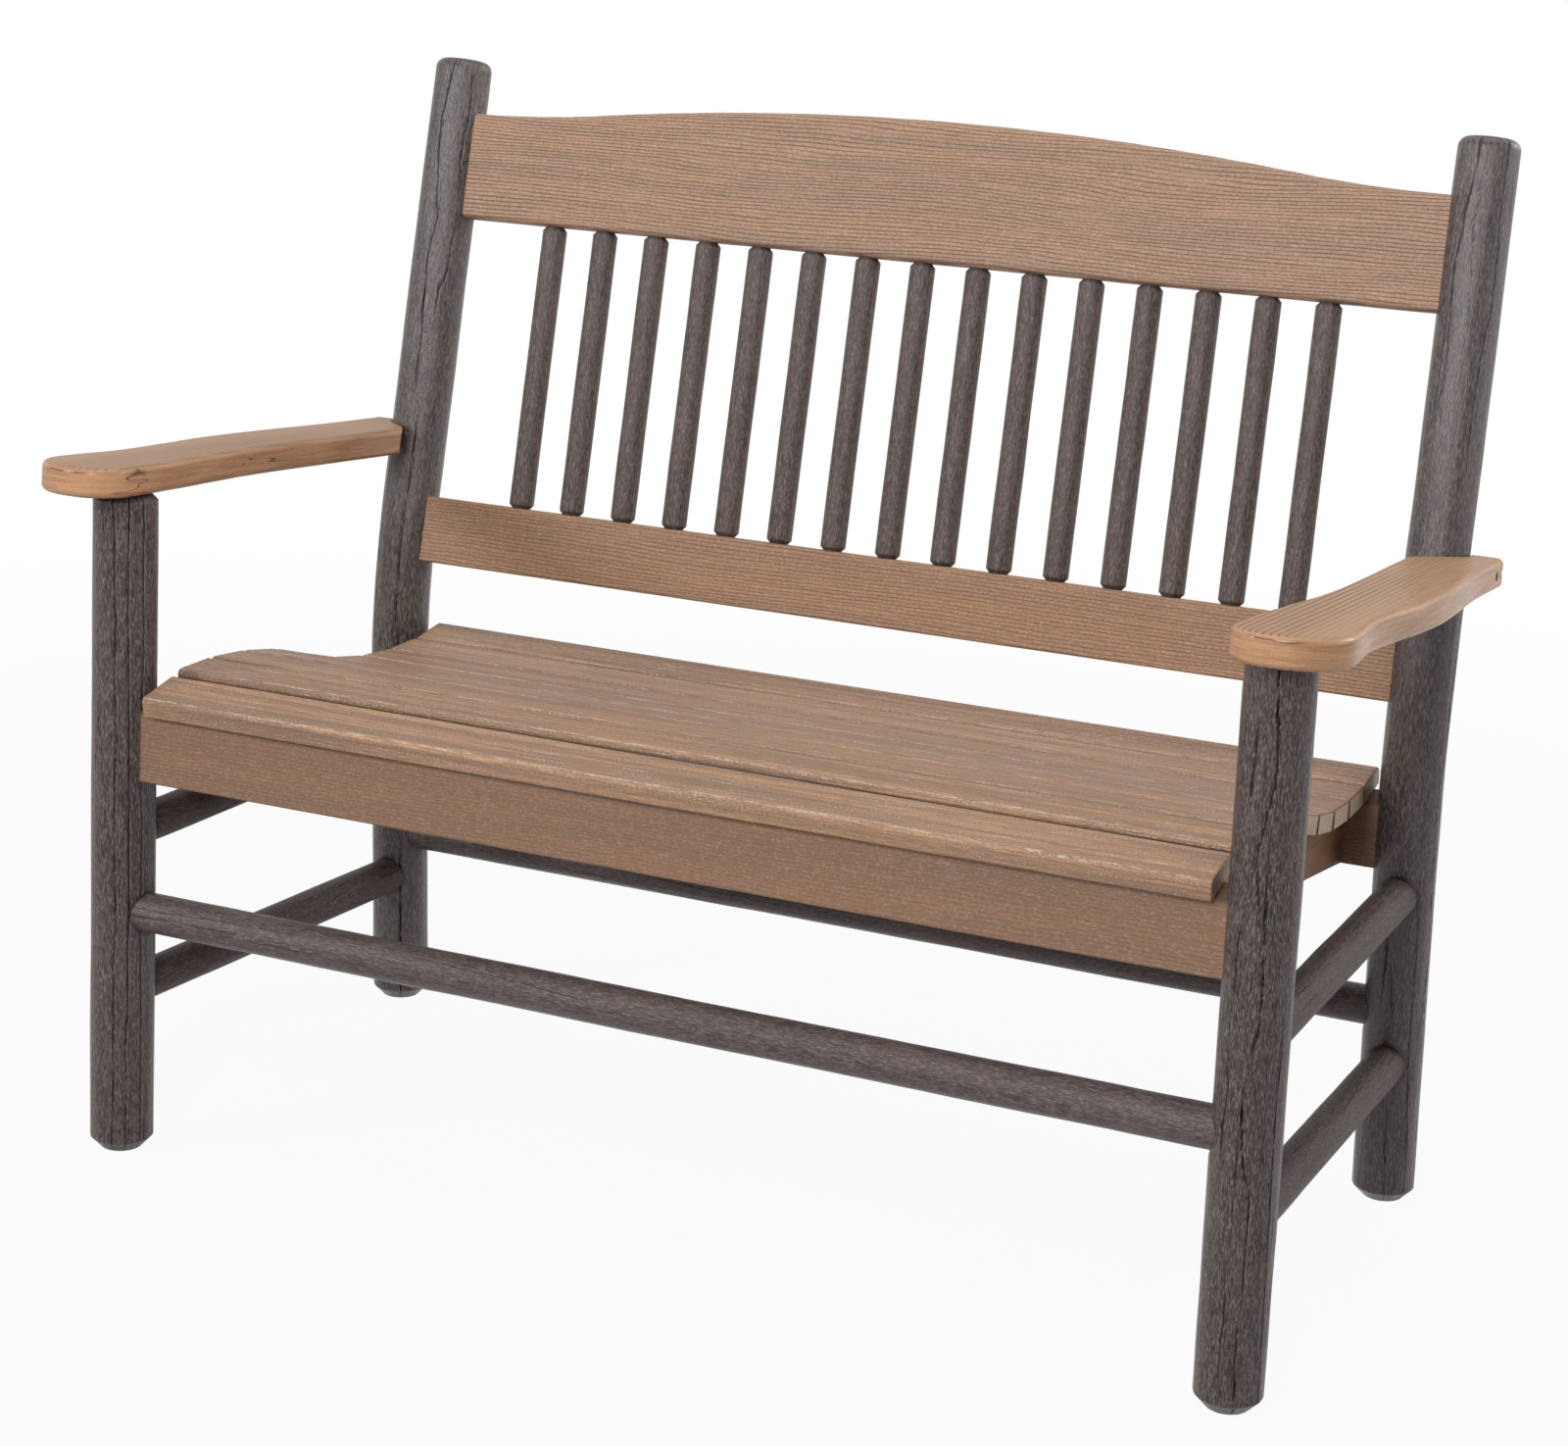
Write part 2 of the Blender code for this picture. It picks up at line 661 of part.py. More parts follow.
def build_crest(material, parent):
    """Crest rail, lofted along X from rounded sections of changing height."""
    clear = [CLEAR_HALF * (2 * step / CREST_STATIONS - 1) for step in range(CREST_STATIONS + 1)]
    rings = []
    for x in [-BOARD_HALF_LENGTH] + clear + [BOARD_HALF_LENGTH]:
        top = crest_height(x)
        corners = [(-BOARD_HALF, 0.0), (BOARD_HALF, 0.0), (BOARD_HALF, top), (-BOARD_HALF, top)]
        rings.append([(x, y, z) for y, z in rounded(corners, CREST_EDGE_ROUND)])
    y, z = PATH.back_point(CREST_RISE)
    mesh = loft(bmesh.new(), rings)
    crest = add_piece("crest_rail", mesh, material, parent, (0.0, y, z), -BACK_LEAN)
    spindle_bores(crest, 0.0, False)


def build_lower_rail(material, parent):
    """Straight rail that carries the spindles' feet."""
    corners = [
        (-BOARD_HALF, 0.0),
        (BOARD_HALF, 0.0),
        (BOARD_HALF, LOWER_RAIL_HEIGHT),
        (-BOARD_HALF, LOWER_RAIL_HEIGHT),
    ]
    outline = rounded(corners, BOARD_EDGE_ROUND)
    mesh = prism(bmesh.new(), outline, -BOARD_HALF_LENGTH, BOARD_HALF_LENGTH)
    y, z = PATH.back_point(LOWER_RAIL_RISE)
    rail = add_piece("lower_back_rail", mesh, material, parent, (0.0, y, z), -BACK_LEAN)
    spindle_bores(rail, LOWER_RAIL_HEIGHT, True)


def build_spindles(material, parent):
    """Turned spindles, coned down to their tenons at both rails."""
    radius = SPINDLE_DIAMETER / 2
    tenon = SPINDLE_TENON_DIAMETER / 2
    cone = radius - tenon
    length = CREST_RISE - LOWER_RAIL_TOP
    profile = [
        (tenon, -SPINDLE_TENON_LENGTH),
        (tenon, 0.0),
        (radius, cone),
        (radius, length - cone),
        (tenon, length),
        (tenon, length + SPINDLE_TENON_LENGTH),
    ]
    data = make_mesh("back_spindle", turned(bmesh.new(), profile, SPINDLE_SIDES))
    data.materials.append(material)
    y, z = PATH.back_point(LOWER_RAIL_TOP)
    for index, x in enumerate(spindle_xs()):
        add_object(f"back_spindle_{index + 1:02d}", data, parent, (x, y, z), -BACK_LEAN)


# Arms

def tail_end():
    """Distance of the arms' tail ends behind the front posts' axes."""
    return PATH.y_at(arm_top(PATH.y_at(ARM_TOP_HEIGHT))) + ARM_TAIL_OVERHANG


def arm_outline():
    """Plan outline of an arm board before its notch: outward and rearward pairs."""
    front, rear = -ARM_FRONT_OVERHANG, tail_end()
    outer_start = front + ARM_FRONT_OUTER_CORNER
    inner_start = front + ARM_FRONT_INNER_CORNER
    outer_keys = [
        (outer_start, ARM_FRONT_OUTER),
        (ARM_NECK_PLACE, ARM_NECK_OUTER),
        (ARM_BELLY_PLACE, ARM_BELLY_OUTER),
        (ARM_TAIL_PLACE, ARM_TAIL_OUTER),
    ]
    inner_keys = [
        (inner_start, -ARM_FRONT_INNER),
        (ARM_WAIST_PLACE, -ARM_WAIST_INNER),
        (ARM_REAR_PLACE, -ARM_REAR_INNER),
    ]
    frame = [
        (-ARM_FRONT_INNER, front),
        (ARM_FRONT_OUTER, front),
        (ARM_TAIL_OUTER, rear),
        (-ARM_REAR_INNER, rear),
    ]
    radii = (ARM_FRONT_INNER_CORNER, ARM_FRONT_OUTER_CORNER, ARM_TAIL_CORNER, ARM_TAIL_CORNER)
    turn_steps = 2 * CORNER_STEPS
    corners = rounded(frame, radii, turn_steps)
    half = len(corners) // 2
    outer = [(eased(outer_keys, place), place) for place in spread(outer_start, ARM_TAIL_PLACE)]
    inner = [(eased(inner_keys, place), place) for place in spread(inner_start, ARM_REAR_PLACE)]
    return corners[:half] + outer + corners[half:] + inner[::-1]


def spread(start, end):
    """Even places between two ends, the start left out."""
    steps = round((end - start) / ARM_OUTLINE_STEP)
    return [start + (end - start) * step / steps for step in range(1, steps + 1)]


def inset(outline, distance):
    """Outline moved inward by a distance, point by point."""
    result = []
    for index, point in enumerate(outline):
        before = Vector(outline[index - 1])
        after = Vector(outline[(index + 1) % len(outline)])
        here = Vector(point)
        along_a = (here - before).normalized()
        along_b = (after - here).normalized()
        normal_a = Vector((-along_a.y, along_a.x))
        normal_b = Vector((-along_b.y, along_b.x))
        bisector = (normal_a + normal_b).normalized()
        result.append(here + bisector * (distance / bisector.dot(normal_a)))
    return result


def arm_blank(side):
    """Arm board with rounded-over edges, in its own tipped plane with its top at 0."""
    outline = arm_outline()
    levels = []
    for step in range(CORNER_STEPS + 1):
        angle = math.pi / 2 * step / CORNER_STEPS
        levels.append((ARM_EDGE_ROUND * (1 - math.sin(angle)), ARM_EDGE_ROUND * (1 - math.cos(angle))))
    rings = []
    for margin, depth in levels:
        rings.append((margin, depth - ARM_THICKNESS))
    for margin, depth in reversed(levels):
        rings.append((margin, -depth))
    mesh = bmesh.new()
    return loft(mesh, [[(side * u, v, z) for u, v in inset(outline, m)] for m, z in rings])


def notch_cutter(mesh, side):
    """Wedge that clears the rear post: a slanted face and a face along the tail."""
    middle = arm_top(PATH.y_at(ARM_TOP_HEIGHT)) - ARM_THICKNESS / 2
    deep = POST_RADIUS / math.cos(BACK_LEAN)
    normal = (math.sin(NOTCH_ANGLE), -math.cos(NOTCH_ANGLE))
    slant = math.hypot(POST_RADIUS * normal[0], deep * normal[1]) + FIT
    wall = POST_RADIUS + FIT
    corner_v = (wall * normal[0] - slant) / math.cos(NOTCH_ANGLE)
    reach = ARM_BELLY_OUTER + ARM_FRONT_INNER
    plan = [
        (wall, corner_v),
        (wall - reach * math.cos(NOTCH_ANGLE), corner_v - reach * math.sin(NOTCH_ANGLE)),
        (wall - reach * math.cos(NOTCH_ANGLE), reach),
        (wall, reach),
    ]
    rings = []
    for lift in (-ARM_THICKNESS, ARM_THICKNESS):
        y = PATH.y_at(middle) + lift * math.tan(BACK_LEAN)
        rings.append([(side * u, y + v, middle + lift) for u, v in plan])
    return loft(mesh, rings)


def to_arm_space(mesh):
    """Move a cutter from the bench's space, at a post's X, into an arm's tipped space."""
    cosine, sine = math.cos(ARM_TILT), math.sin(ARM_TILT)
    for vertex in mesh.verts:
        y, z = vertex.co.y, vertex.co.z - ARM_TOP_HEIGHT
        vertex.co.y = y * cosine - z * sine
        vertex.co.z = y * sine + z * cosine
    return mesh


def screw_profile():
    """Radius and distance from the post's axis of a screw's turned shape, tip first."""
    shank, head = SCREW_SHANK_DIAMETER / 2, SCREW_HEAD_DIAMETER / 2
    tip = POST_RADIUS - SCREW_POST_DEPTH
    head_top = ARM_TAIL_OUTER - SCREW_RECESS
    head_bottom = head_top - SCREW_HEAD_LENGTH
    return [
        (shank / 4, tip),
        (shank, tip + SCREW_SHANK_DIAMETER),
        (shank, head_bottom),
        (head, head_bottom),
        (head, head_top),
    ]


def screw_holes(mesh, side):
    """Stepped holes for the screws through an arm's tail."""
    outward = Vector((side, 0.0, 0.0))
    head_seat = ARM_TAIL_OUTER - SCREW_RECESS - SCREW_HEAD_LENGTH - FIT
    for y, z in screw_places():
        start = Vector((0.0, y, z))
        shank, head = SCREW_SHANK_DIAMETER / 2 + FIT, SCREW_HEAD_DIAMETER / 2 + FIT
        profile = [(shank, 0.0), (shank, head_seat), (head, head_seat), (head, 2 * head_seat)]
        rings = []
        for radius, reach in profile:
            centre = start + outward * reach
            rings.append([centre + Vector((0.0, radius * c, radius * s)) for c, s in circle(SCREW_SIDES)])
        loft(mesh, rings)
    return mesh


def build_arm(name, side, material, parent):
    """Arm board, notched for the rear post, bored for the front post and for its screws."""
    place = (side * POST_X, 0.0, ARM_TOP_HEIGHT)
    arm = add_piece(name, arm_blank(side), material, parent, place, -ARM_TILT)
    cut(arm, to_arm_space(notch_cutter(bmesh.new(), side)))
    socket_top = arm_top(0.0) - ARM_THICKNESS / math.cos(ARM_TILT) + ARM_TENON_LENGTH + FIT
    slope = math.tan(ARM_TILT)
    radius = ARM_TENON_DIAMETER / 2 + FIT
    rings = []
    for height in (socket_top - ARM_THICKNESS, socket_top):
        rings.append([(radius * c, radius * s, height - radius * s * slope) for c, s in circle(POST_SIDES)])
    cut(arm, to_arm_space(loft(bmesh.new(), rings)))
    cut(arm, to_arm_space(screw_holes(bmesh.new(), side)))


def build_arm_screws(label, side, material, parent):
    """Two recessed screws from an arm's tail into the rear post."""
    for place, (y, z) in zip(("front", "rear"), screw_places()):
        mesh = turned(bmesh.new(), screw_profile(), SCREW_SIDES)
        screw = add_piece(f"arm_screw_{label}_{place}", mesh, material, parent)
        screw.location = (side * POST_X, y, z)
        screw.rotation_euler = (0.0, side * math.pi / 2, 0.0)


def main():
    """Build the whole bench under one empty."""
    clear_scene()
    bench = bpy.data.objects.new("bench", None)
    bpy.context.scene.collection.objects.link(bench)
    bench.location = (0.0, -bench_centre(), 0.0)
    post_log = make_material("dark_log_post", (0.085, 0.075, 0.070), 0.70)
    rung_log = make_material("dark_log_rung", (0.075, 0.066, 0.062), 0.68)
    spindle_log = make_material("dark_log_spindle", (0.080, 0.070, 0.066), 0.66)
    cedar_seat = make_material("cedar_seat_board", (0.340, 0.215, 0.130), 0.58)
    cedar_rail = make_material("cedar_rail_board", (0.300, 0.185, 0.110), 0.60)
    cedar_arm = make_material("cedar_arm_board", (0.370, 0.235, 0.140), 0.52)
    steel = make_material("coated_screw_steel", (0.220, 0.200, 0.180), 0.45, 0.8)
    for label, side in (("left", -1), ("right", 1)):
        build_front_post(f"front_post_{label}", side, post_log, bench)
        build_rear_post(f"rear_post_{label}", side, post_log, bench)
        build_arm(f"arm_{label}", side, cedar_arm, bench)
        build_arm_screws(label, side, steel, bench)
    build_rungs(rung_log, bench)
    build_aprons(cedar_rail, bench)
    build_supports(cedar_rail, bench)
    build_slats(cedar_seat, bench)
    build_lower_rail(cedar_rail, bench)
    build_crest(cedar_rail, bench)
    build_spindles(spindle_log, bench)
    bpy.context.view_layer.update()


main()
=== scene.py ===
"""Looks of a two-seat park bench: fissured dark logs, grained cedar boards and a plain studio.

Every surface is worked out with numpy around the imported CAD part, in metres, +Z up, front at -Y.
"""
import math

import bpy
import numpy as np
from bpy.props import FloatProperty, FloatVectorProperty, PointerProperty
from mathutils import Matrix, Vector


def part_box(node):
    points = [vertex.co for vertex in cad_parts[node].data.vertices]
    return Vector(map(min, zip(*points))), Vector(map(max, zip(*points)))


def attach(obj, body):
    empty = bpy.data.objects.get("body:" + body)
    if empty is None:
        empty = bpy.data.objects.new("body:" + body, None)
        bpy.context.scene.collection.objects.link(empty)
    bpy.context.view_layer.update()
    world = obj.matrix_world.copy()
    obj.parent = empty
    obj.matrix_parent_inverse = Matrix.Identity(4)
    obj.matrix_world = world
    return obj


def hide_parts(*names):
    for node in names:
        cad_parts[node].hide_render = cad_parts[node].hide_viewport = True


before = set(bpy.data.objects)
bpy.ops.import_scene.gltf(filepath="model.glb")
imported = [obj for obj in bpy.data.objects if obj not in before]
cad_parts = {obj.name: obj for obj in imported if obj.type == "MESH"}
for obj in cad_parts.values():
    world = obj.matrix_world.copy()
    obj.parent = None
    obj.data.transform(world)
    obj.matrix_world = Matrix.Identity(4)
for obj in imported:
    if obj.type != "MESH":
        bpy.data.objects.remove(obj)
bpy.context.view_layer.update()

bl_info = {
    "name": "Park bench looks",
    "version": (1, 0, 0),
    "blender": (4, 5, 0),
    "location": "3D View > Sidebar > Bench",
    "description": "Builds the logs, boards and stage of a two-seat park bench",
    "category": "Object",
}

BODY = "root"
SIDES = (("left", -1), ("right", 1))
FULL_TURN = 2 * math.pi
WHITE = (1.0, 1.0, 1.0, 1.0)


def middle(node):
    """Middle of a CAD node's box."""
    low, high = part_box(node)
    return (low + high) / 2


def span(node):
    """Lengths of a CAD node's box along X, Y and Z."""
    low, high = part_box(node)
    return high - low


# Places and sizes that the CAD part gives
POST_X = middle("front_post_right").x
FRONT_Y = middle("front_post_right").y
POST_RADIUS = span("front_post_right").x / 2
RUNG_RADIUS = span("front_stretcher").z / 2
SPINDLE_RADIUS = span("back_spindle_08").x / 2
BOARD_THICKNESS = span("front_apron").y
SLAT_HALF = span("seat_slat_01").x / 2
BOARD_HALF_LENGTH = span("front_apron").x / 2

# Repeated from the part's own sizes, a top drawn in a little so that the skin stays inside
FOOT_SPREAD = 0.499
FOOT_CHAMFER = 0.011
LEG_LEAN = math.radians(3.0)
BACK_LEAN = math.radians(10.86)
BEND_HEIGHT = 0.440
BEND_RADIUS = 0.900
POST_TOP_RISE = 0.5796
POST_TOP_ROUND = 0.010
FRONT_TOP_CHAMFER = 0.007
RUNG_SEAT_DEPTH = 0.022
RUNG_END_CHAMFER = 0.002
SIDE_LOWER_FRONT_HEIGHT = 0.1545
SIDE_LOWER_REAR_HEIGHT = 0.141
SIDE_UPPER_HEIGHT = 0.309
BOARD_EDGE_ROUND = 0.003
SLAT_TILTS = np.radians((14.0, 1.6, -4.3, -10.0, -16.0, -15.3, -9.8, -3.5, 1.5, 9.0))
SLAT_THICKNESS = 0.019
SLAT_EDGE_ROUND = 0.003
SLAT_NOSE_ROUND = 0.005
SLAT_TAIL_ROUND = 0.008
LOWER_RAIL_RISE = 0.048
LOWER_RAIL_HEIGHT = 0.069
CREST_RISE = 0.413
CREST_END_HEIGHT = 0.111
CREST_ARCH = 0.0305
CREST_ARCH_TURN = 0.72
CREST_EDGE_ROUND = 0.006
SPINDLE_COUNT = 15
SPINDLE_TENON_RADIUS = 0.009
SPINDLE_TENON_LENGTH = 0.020
ARM_TOP_HEIGHT = 0.6607
ARM_TILT = math.radians(3.5)
ARM_THICKNESS = 0.0275
ARM_EDGE_ROUND = 0.006
ARM_FRONT = -0.073
ARM_TAIL_OVERHANG = 0.013
ARM_OUTER_CORNER = 0.052
ARM_INNER_CORNER = 0.036
ARM_TAIL_CORNER = 0.009
ARM_OUTER_WIDTHS = ((0.060, 0.058), (0.245, 0.0695), (0.450, 0.0605))
ARM_INNER_WIDTHS = ((0.225, 0.0145), (0.450, 0.0175))
ARM_FRONT_OUTER = 0.064
ARM_FRONT_INNER = 0.031
NOTCH_ANGLE = math.radians(45.0)
JOINT_FIT = 0.0003

# Small forms of the skins alone
LOG_EDGE_SOFT = 0.002
SPINDLE_SHOULDER_SOFT = 0.0015
SLAT_UNDER_ROUND = 0.0016
SLAT_END_EASE = 0.0012
SLAT_JOINT_OPEN = 0.0008
SCREW_HOLE_RADIUS = 0.0042
SCREW_HOLE_DEPTH = 0.0032
SCREW_HOLE_SOFT = 0.0004
NOTCH_SOFT = 0.012
SKIN_INSET = 0.0002

# Worked out from the sizes above
FRONT_TOP = ARM_TOP_HEIGHT - ARM_THICKNESS / math.cos(ARM_TILT) - JOINT_FIT
BEND_TURN = LEG_LEAN + BACK_LEAN
BEND_TANGENT = BEND_RADIUS * math.tan(BEND_TURN / 2)
BEND_Y = FRONT_Y + FOOT_SPREAD - BEND_HEIGHT * math.tan(LEG_LEAN)
LEG_LENGTH = BEND_HEIGHT / math.cos(LEG_LEAN) - BEND_TANGENT
BEND_LENGTH = BEND_RADIUS * BEND_TURN
REAR_LENGTH = LEG_LENGTH + BEND_LENGTH + POST_TOP_RISE - BEND_TANGENT


# Settings a user would change

COLOUR = {"subtype": "COLOR", "size": 3, "min": 0.0, "max": 1.0}
WATTS = {"min": 0.0, "max": 2000.0}


class BenchLogLook(bpy.types.PropertyGroup):
    """Dark logs: posts, rungs and spindles."""
    shade: FloatVectorProperty(
        name="Shade", description="Darkest tone between the log's fibres",
        default=(0.018, 0.0132, 0.0122), **COLOUR)
    body: FloatVectorProperty(
        name="Body", description="Main tone of the log", default=(0.080, 0.0585, 0.0540), **COLOUR)
    fleck: FloatVectorProperty(
        name="Fleck", description="Pale fibres and crack lips", default=(0.240, 0.200, 0.190), **COLOUR)
    crack_depth: FloatProperty(
        name="Crack depth", description="Depth of a post's long cracks", unit="LENGTH",
        min=0.0, max=0.004, default=0.0011)
    crack_width: FloatProperty(
        name="Crack width", description="Half width of a post's long cracks", unit="LENGTH",
        min=0.0005, max=0.004, default=0.0010)


class BenchBoardLook(bpy.types.PropertyGroup):
    """Cedar boards: rails, seat slats and arms."""
    rail: FloatVectorProperty(
        name="Rail", description="Main tone of the rails and aprons", default=(0.415, 0.252, 0.160), **COLOUR)
    seat: FloatVectorProperty(
        name="Seat", description="Main tone of the slats", default=(0.405, 0.247, 0.155), **COLOUR)
    arm: FloatVectorProperty(
        name="Arm", description="Main tone of the arms", default=(0.430, 0.258, 0.152), **COLOUR)
    line: FloatVectorProperty(
        name="Grain line", description="Dark lines of the grain", default=(0.170, 0.104, 0.072), **COLOUR)
    pitch: FloatProperty(
        name="Grain pitch", description="Distance between grain ridges", unit="LENGTH",
        min=0.001, max=0.02, default=0.0038)
    relief: FloatProperty(
        name="Grain relief", description="Height of the grain ridges", unit="LENGTH",
        min=0.0, max=0.001, default=0.00022)


class BenchStageLook(bpy.types.PropertyGroup):
    """Floor, background and lamps."""
    floor: FloatVectorProperty(
        name="Floor", description="Colour of the floor", default=(0.45, 0.45, 0.45), **COLOUR)
    sky: FloatProperty(
        name="Room light", description="Level of the even light from all round",
        min=0.0, max=2.0, default=0.10)
    key: FloatProperty(
        name="Key lamp", description="Power of the large front lamp in watts", default=42.0, **WATTS)
    sheen: FloatProperty(
        name="Sheen lamp", description="Power of the small lamp at the left front in watts",
        default=50.0, **WATTS)
    side: FloatProperty(
        name="Side lamp", description="Power of the lamp at the right in watts", default=60.0, **WATTS)
    top: FloatProperty(
        name="Top lamp", description="Power of the overhead lamp in watts", default=38.0, **WATTS)
    back: FloatProperty(
        name="Back lamp", description="Power of the lamp behind in watts", default=98.0, **WATTS)


# Shader expressions

class Value:
    """A number socket of a shader, which takes part in Python arithmetic."""

    def __init__(self, finish, socket):
        self.finish = finish
        self.socket = socket

    def math(self, operation, *terms):
        """Math node of that operation on these terms."""
        return self.finish.node("ShaderNodeMath", {"operation": operation}, dict(enumerate(terms)))

    def __add__(self, other):
        return self.math("ADD", self, other)

    def __radd__(self, other):
        return self.math("ADD", other, self)

    def __sub__(self, other):
        return self.math("SUBTRACT", self, other)

    def __rsub__(self, other):
        return self.math("SUBTRACT", other, self)

    def __mul__(self, other):
        return self.math("MULTIPLY", self, other)

    def __rmul__(self, other):
        return self.math("MULTIPLY", other, self)

    def size(self):
        """The value without its sign."""
        return self.math("ABSOLUTE", self)

    def larger(self, other):
        """The larger of two values."""
        return self.math("MAXIMUM", self, other)

    def ripple(self):
        """Wave of a phase in turns: 0 on each whole turn, 1 half-way between."""
        return 0.5 - 0.5 * self.math("COSINE", self * FULL_TURN)


class Finish:
    """One procedural material, or the world, and the nodes that paint it."""

    def __init__(self, name, world=False):
        self.owner = (bpy.data.worlds if world else bpy.data.materials).new(name)
        self.owner.use_nodes = True
        self.tree = self.owner.node_tree
        self.shader = self.tree.nodes["Background" if world else "Principled BSDF"]

    def node(self, kind, settings, sockets, output=0):
        """Add a node: settings first, then the values or links of its sockets."""
        item = self.tree.nodes.new(kind)
        for key, setting in settings.items():
            setattr(item, key, setting)
        for key, entry in sockets.items():
            self.feed(item.inputs[key], entry)
        return Value(self, item.outputs[output])

    def feed(self, target, entry):
        """Link a value into a socket, or set the socket's own number or colour."""
        if isinstance(entry, Value):
            self.tree.links.new(entry.socket, target)
        else:
            target.default_value = entry

    def attribute(self, name, output="Vector"):
        """The piece's own surface attribute."""
        return self.node("ShaderNodeAttribute", {"attribute_name": name}, {}, output)

    def place(self):
        """The piece's own coordinates."""
        return self.node("ShaderNodeTexCoord", {}, {}, "Object")

    def noise(self, vector, stretch, scale, detail=3.0, roughness=0.5, offset=(0.0, 0.0, 0.0)):
        """Soft random value from 0 to 1, on a vector with each axis stretched and then moved."""
        moved = {"Vector": vector, "Scale": stretch, "Location": offset}
        place = self.node("ShaderNodeMapping", {}, moved)
        sockets = {"Vector": place, "Scale": scale, "Detail": detail, "Roughness": roughness}
        return self.node("ShaderNodeTexNoise", {}, sockets, "Fac")

    def step(self, value, low, high, floor=0.0, ceiling=1.0):
        """Smooth rise of a value from low to high, given new ends."""
        settings = {"interpolation_type": "SMOOTHSTEP", "clamp": True}
        sockets = {
            "Value": value, "From Min": low, "From Max": high, "To Min": floor, "To Max": ceiling}
        return self.node("ShaderNodeMapRange", settings, sockets)

    def layer(self, tone, *coats):
        """A colour with coats laid over it in turn, each a mask and its own colour."""
        settings = {"data_type": "RGBA", "blend_type": "MIX"}
        for mask, colour in coats:
            sockets = {0: mask, 6: opaque(tone), 7: opaque(colour)}
            tone = self.node("ShaderNodeMix", settings, sockets, 2)
        return tone

    def separate(self, vector):
        """The three numbers of a vector."""
        item = self.node("ShaderNodeSeparateXYZ", {}, {"Vector": vector})
        return [Value(self, output) for output in item.socket.node.outputs]

    def bump(self, height, distance, strength):
        """Surface normal tipped by a height."""
        sockets = {"Height": height, "Distance": distance, "Strength": strength}
        return self.node("ShaderNodeBump", {}, sockets)

    def apply(self, **inputs):
        """Feed the shader's sockets by their names, underscores for spaces."""
        for key, entry in inputs.items():
            self.feed(self.shader.inputs[key.replace("_", " ")], entry)
        return self.owner


def opaque(colour):
    """A colour with full alpha; a link as it is."""
    return colour if isinstance(colour, Value) else (*colour, 1.0)


def tinted(colour, *factors):
    """A colour times one factor, or times a factor for each channel."""
    factors = factors if len(factors) == 3 else factors * 3
    return tuple(channel * factor for channel, factor in zip(colour, factors))


# Surfaces

def points(*axes):
    """Points from their coordinates, all spread to one shape."""
    return np.stack(np.broadcast_arrays(*axes), axis=-1)


def unit(vector):
    """A vector drawn to length 1."""
    return vector / np.linalg.norm(vector)


def ripple(turns):
    """Wave of a phase in turns: 0 on each whole turn, 1 half-way between."""
    return 0.5 - 0.5 * np.cos(FULL_TURN * turns)


def drift(seed, terms, *axes):
    """Smooth random field: a mean of sine waves of seeded direction and phase over the scaled axes."""
    rng = np.random.default_rng(seed)
    total = 0.0
    for _ in range(terms):
        weights = rng.normal(size=len(axes))
        phase = rng.uniform(0.0, FULL_TURN)
        total = total + np.sin(FULL_TURN * sum(w * a for w, a in zip(weights, axes)) + phase)
    return total / math.sqrt(terms)


def rise(value, low, high):
    """Smooth step from 0 at low to 1 at high: 3 t squared less 2 t cubed."""
    part = np.clip((value - low) / (high - low), 0.0, 1.0)
    return part * part * (3 - 2 * part)


def filleted(corners, radii, step, closed):
    """Line through corners, each turned on an arc of its radius, with points about a step apart."""
    corners = np.asarray(corners, float)
    count = len(corners)
    turns = []
    for index, radius in enumerate(radii):
        here = corners[index]
        if radius <= 0.0:
            turns.append(here[None])
            continue
        back = unit(corners[index - 1] - here)
        ahead = unit(corners[(index + 1) % count] - here)
        half = math.acos(float(np.clip(back @ ahead, -1.0, 1.0))) / 2
        centre = here + unit(back + ahead) * (radius / math.sin(half))
        reach = radius / math.tan(half)
        first = here + back * reach - centre
        last = here + ahead * reach - centre
        sweep = math.pi - 2 * half
        part = np.linspace(0.0, 1.0, max(4, math.ceil(2 * radius * sweep / step)))[:, None]
        arc = first * np.sin((1 - part) * sweep) + last * np.sin(part * sweep)
        turns.append(centre + arc / math.sin(sweep))
    line = []
    for index, turn in enumerate(turns):
        line.append(turn)
        if index + 1 == count and not closed:
            break
        start, end = turn[-1], turns[(index + 1) % count][0]
        pieces = max(1, math.ceil(np.linalg.norm(end - start) / step))
        part = np.linspace(0.0, 1.0, pieces + 1)[1:-1, None]
        line.append(start + (end - start) * part)
    return np.concatenate(line)


def outward(outline):
    """Unit normals of a closed outline that runs anticlockwise: its tangent turned right."""
    tangent = np.roll(outline, -1, axis=0) - np.roll(outline, 1, axis=0)
    normal = np.stack([tangent[:, 1], -tangent[:, 0]], axis=1)
    return normal / np.linalg.norm(normal, axis=1)[:, None]


def add_object(name, data):
    """Object of the scene for a mesh, a lamp or a camera."""
    item = bpy.data.objects.new(name, data)
    bpy.context.scene.collection.objects.link(item)
    return item


def ring_faces(rows, columns):
    """Vertex numbers of a grid of closed rings, and the quads from each ring to the next."""
    index = np.arange(rows * columns, dtype=np.int32).reshape(rows, columns)
    following = np.roll(index, -1, axis=1)
    quads = np.stack([index[:-1], following[:-1], following[1:], index[1:]], axis=-1)
    return index, quads.reshape(-1, 4)


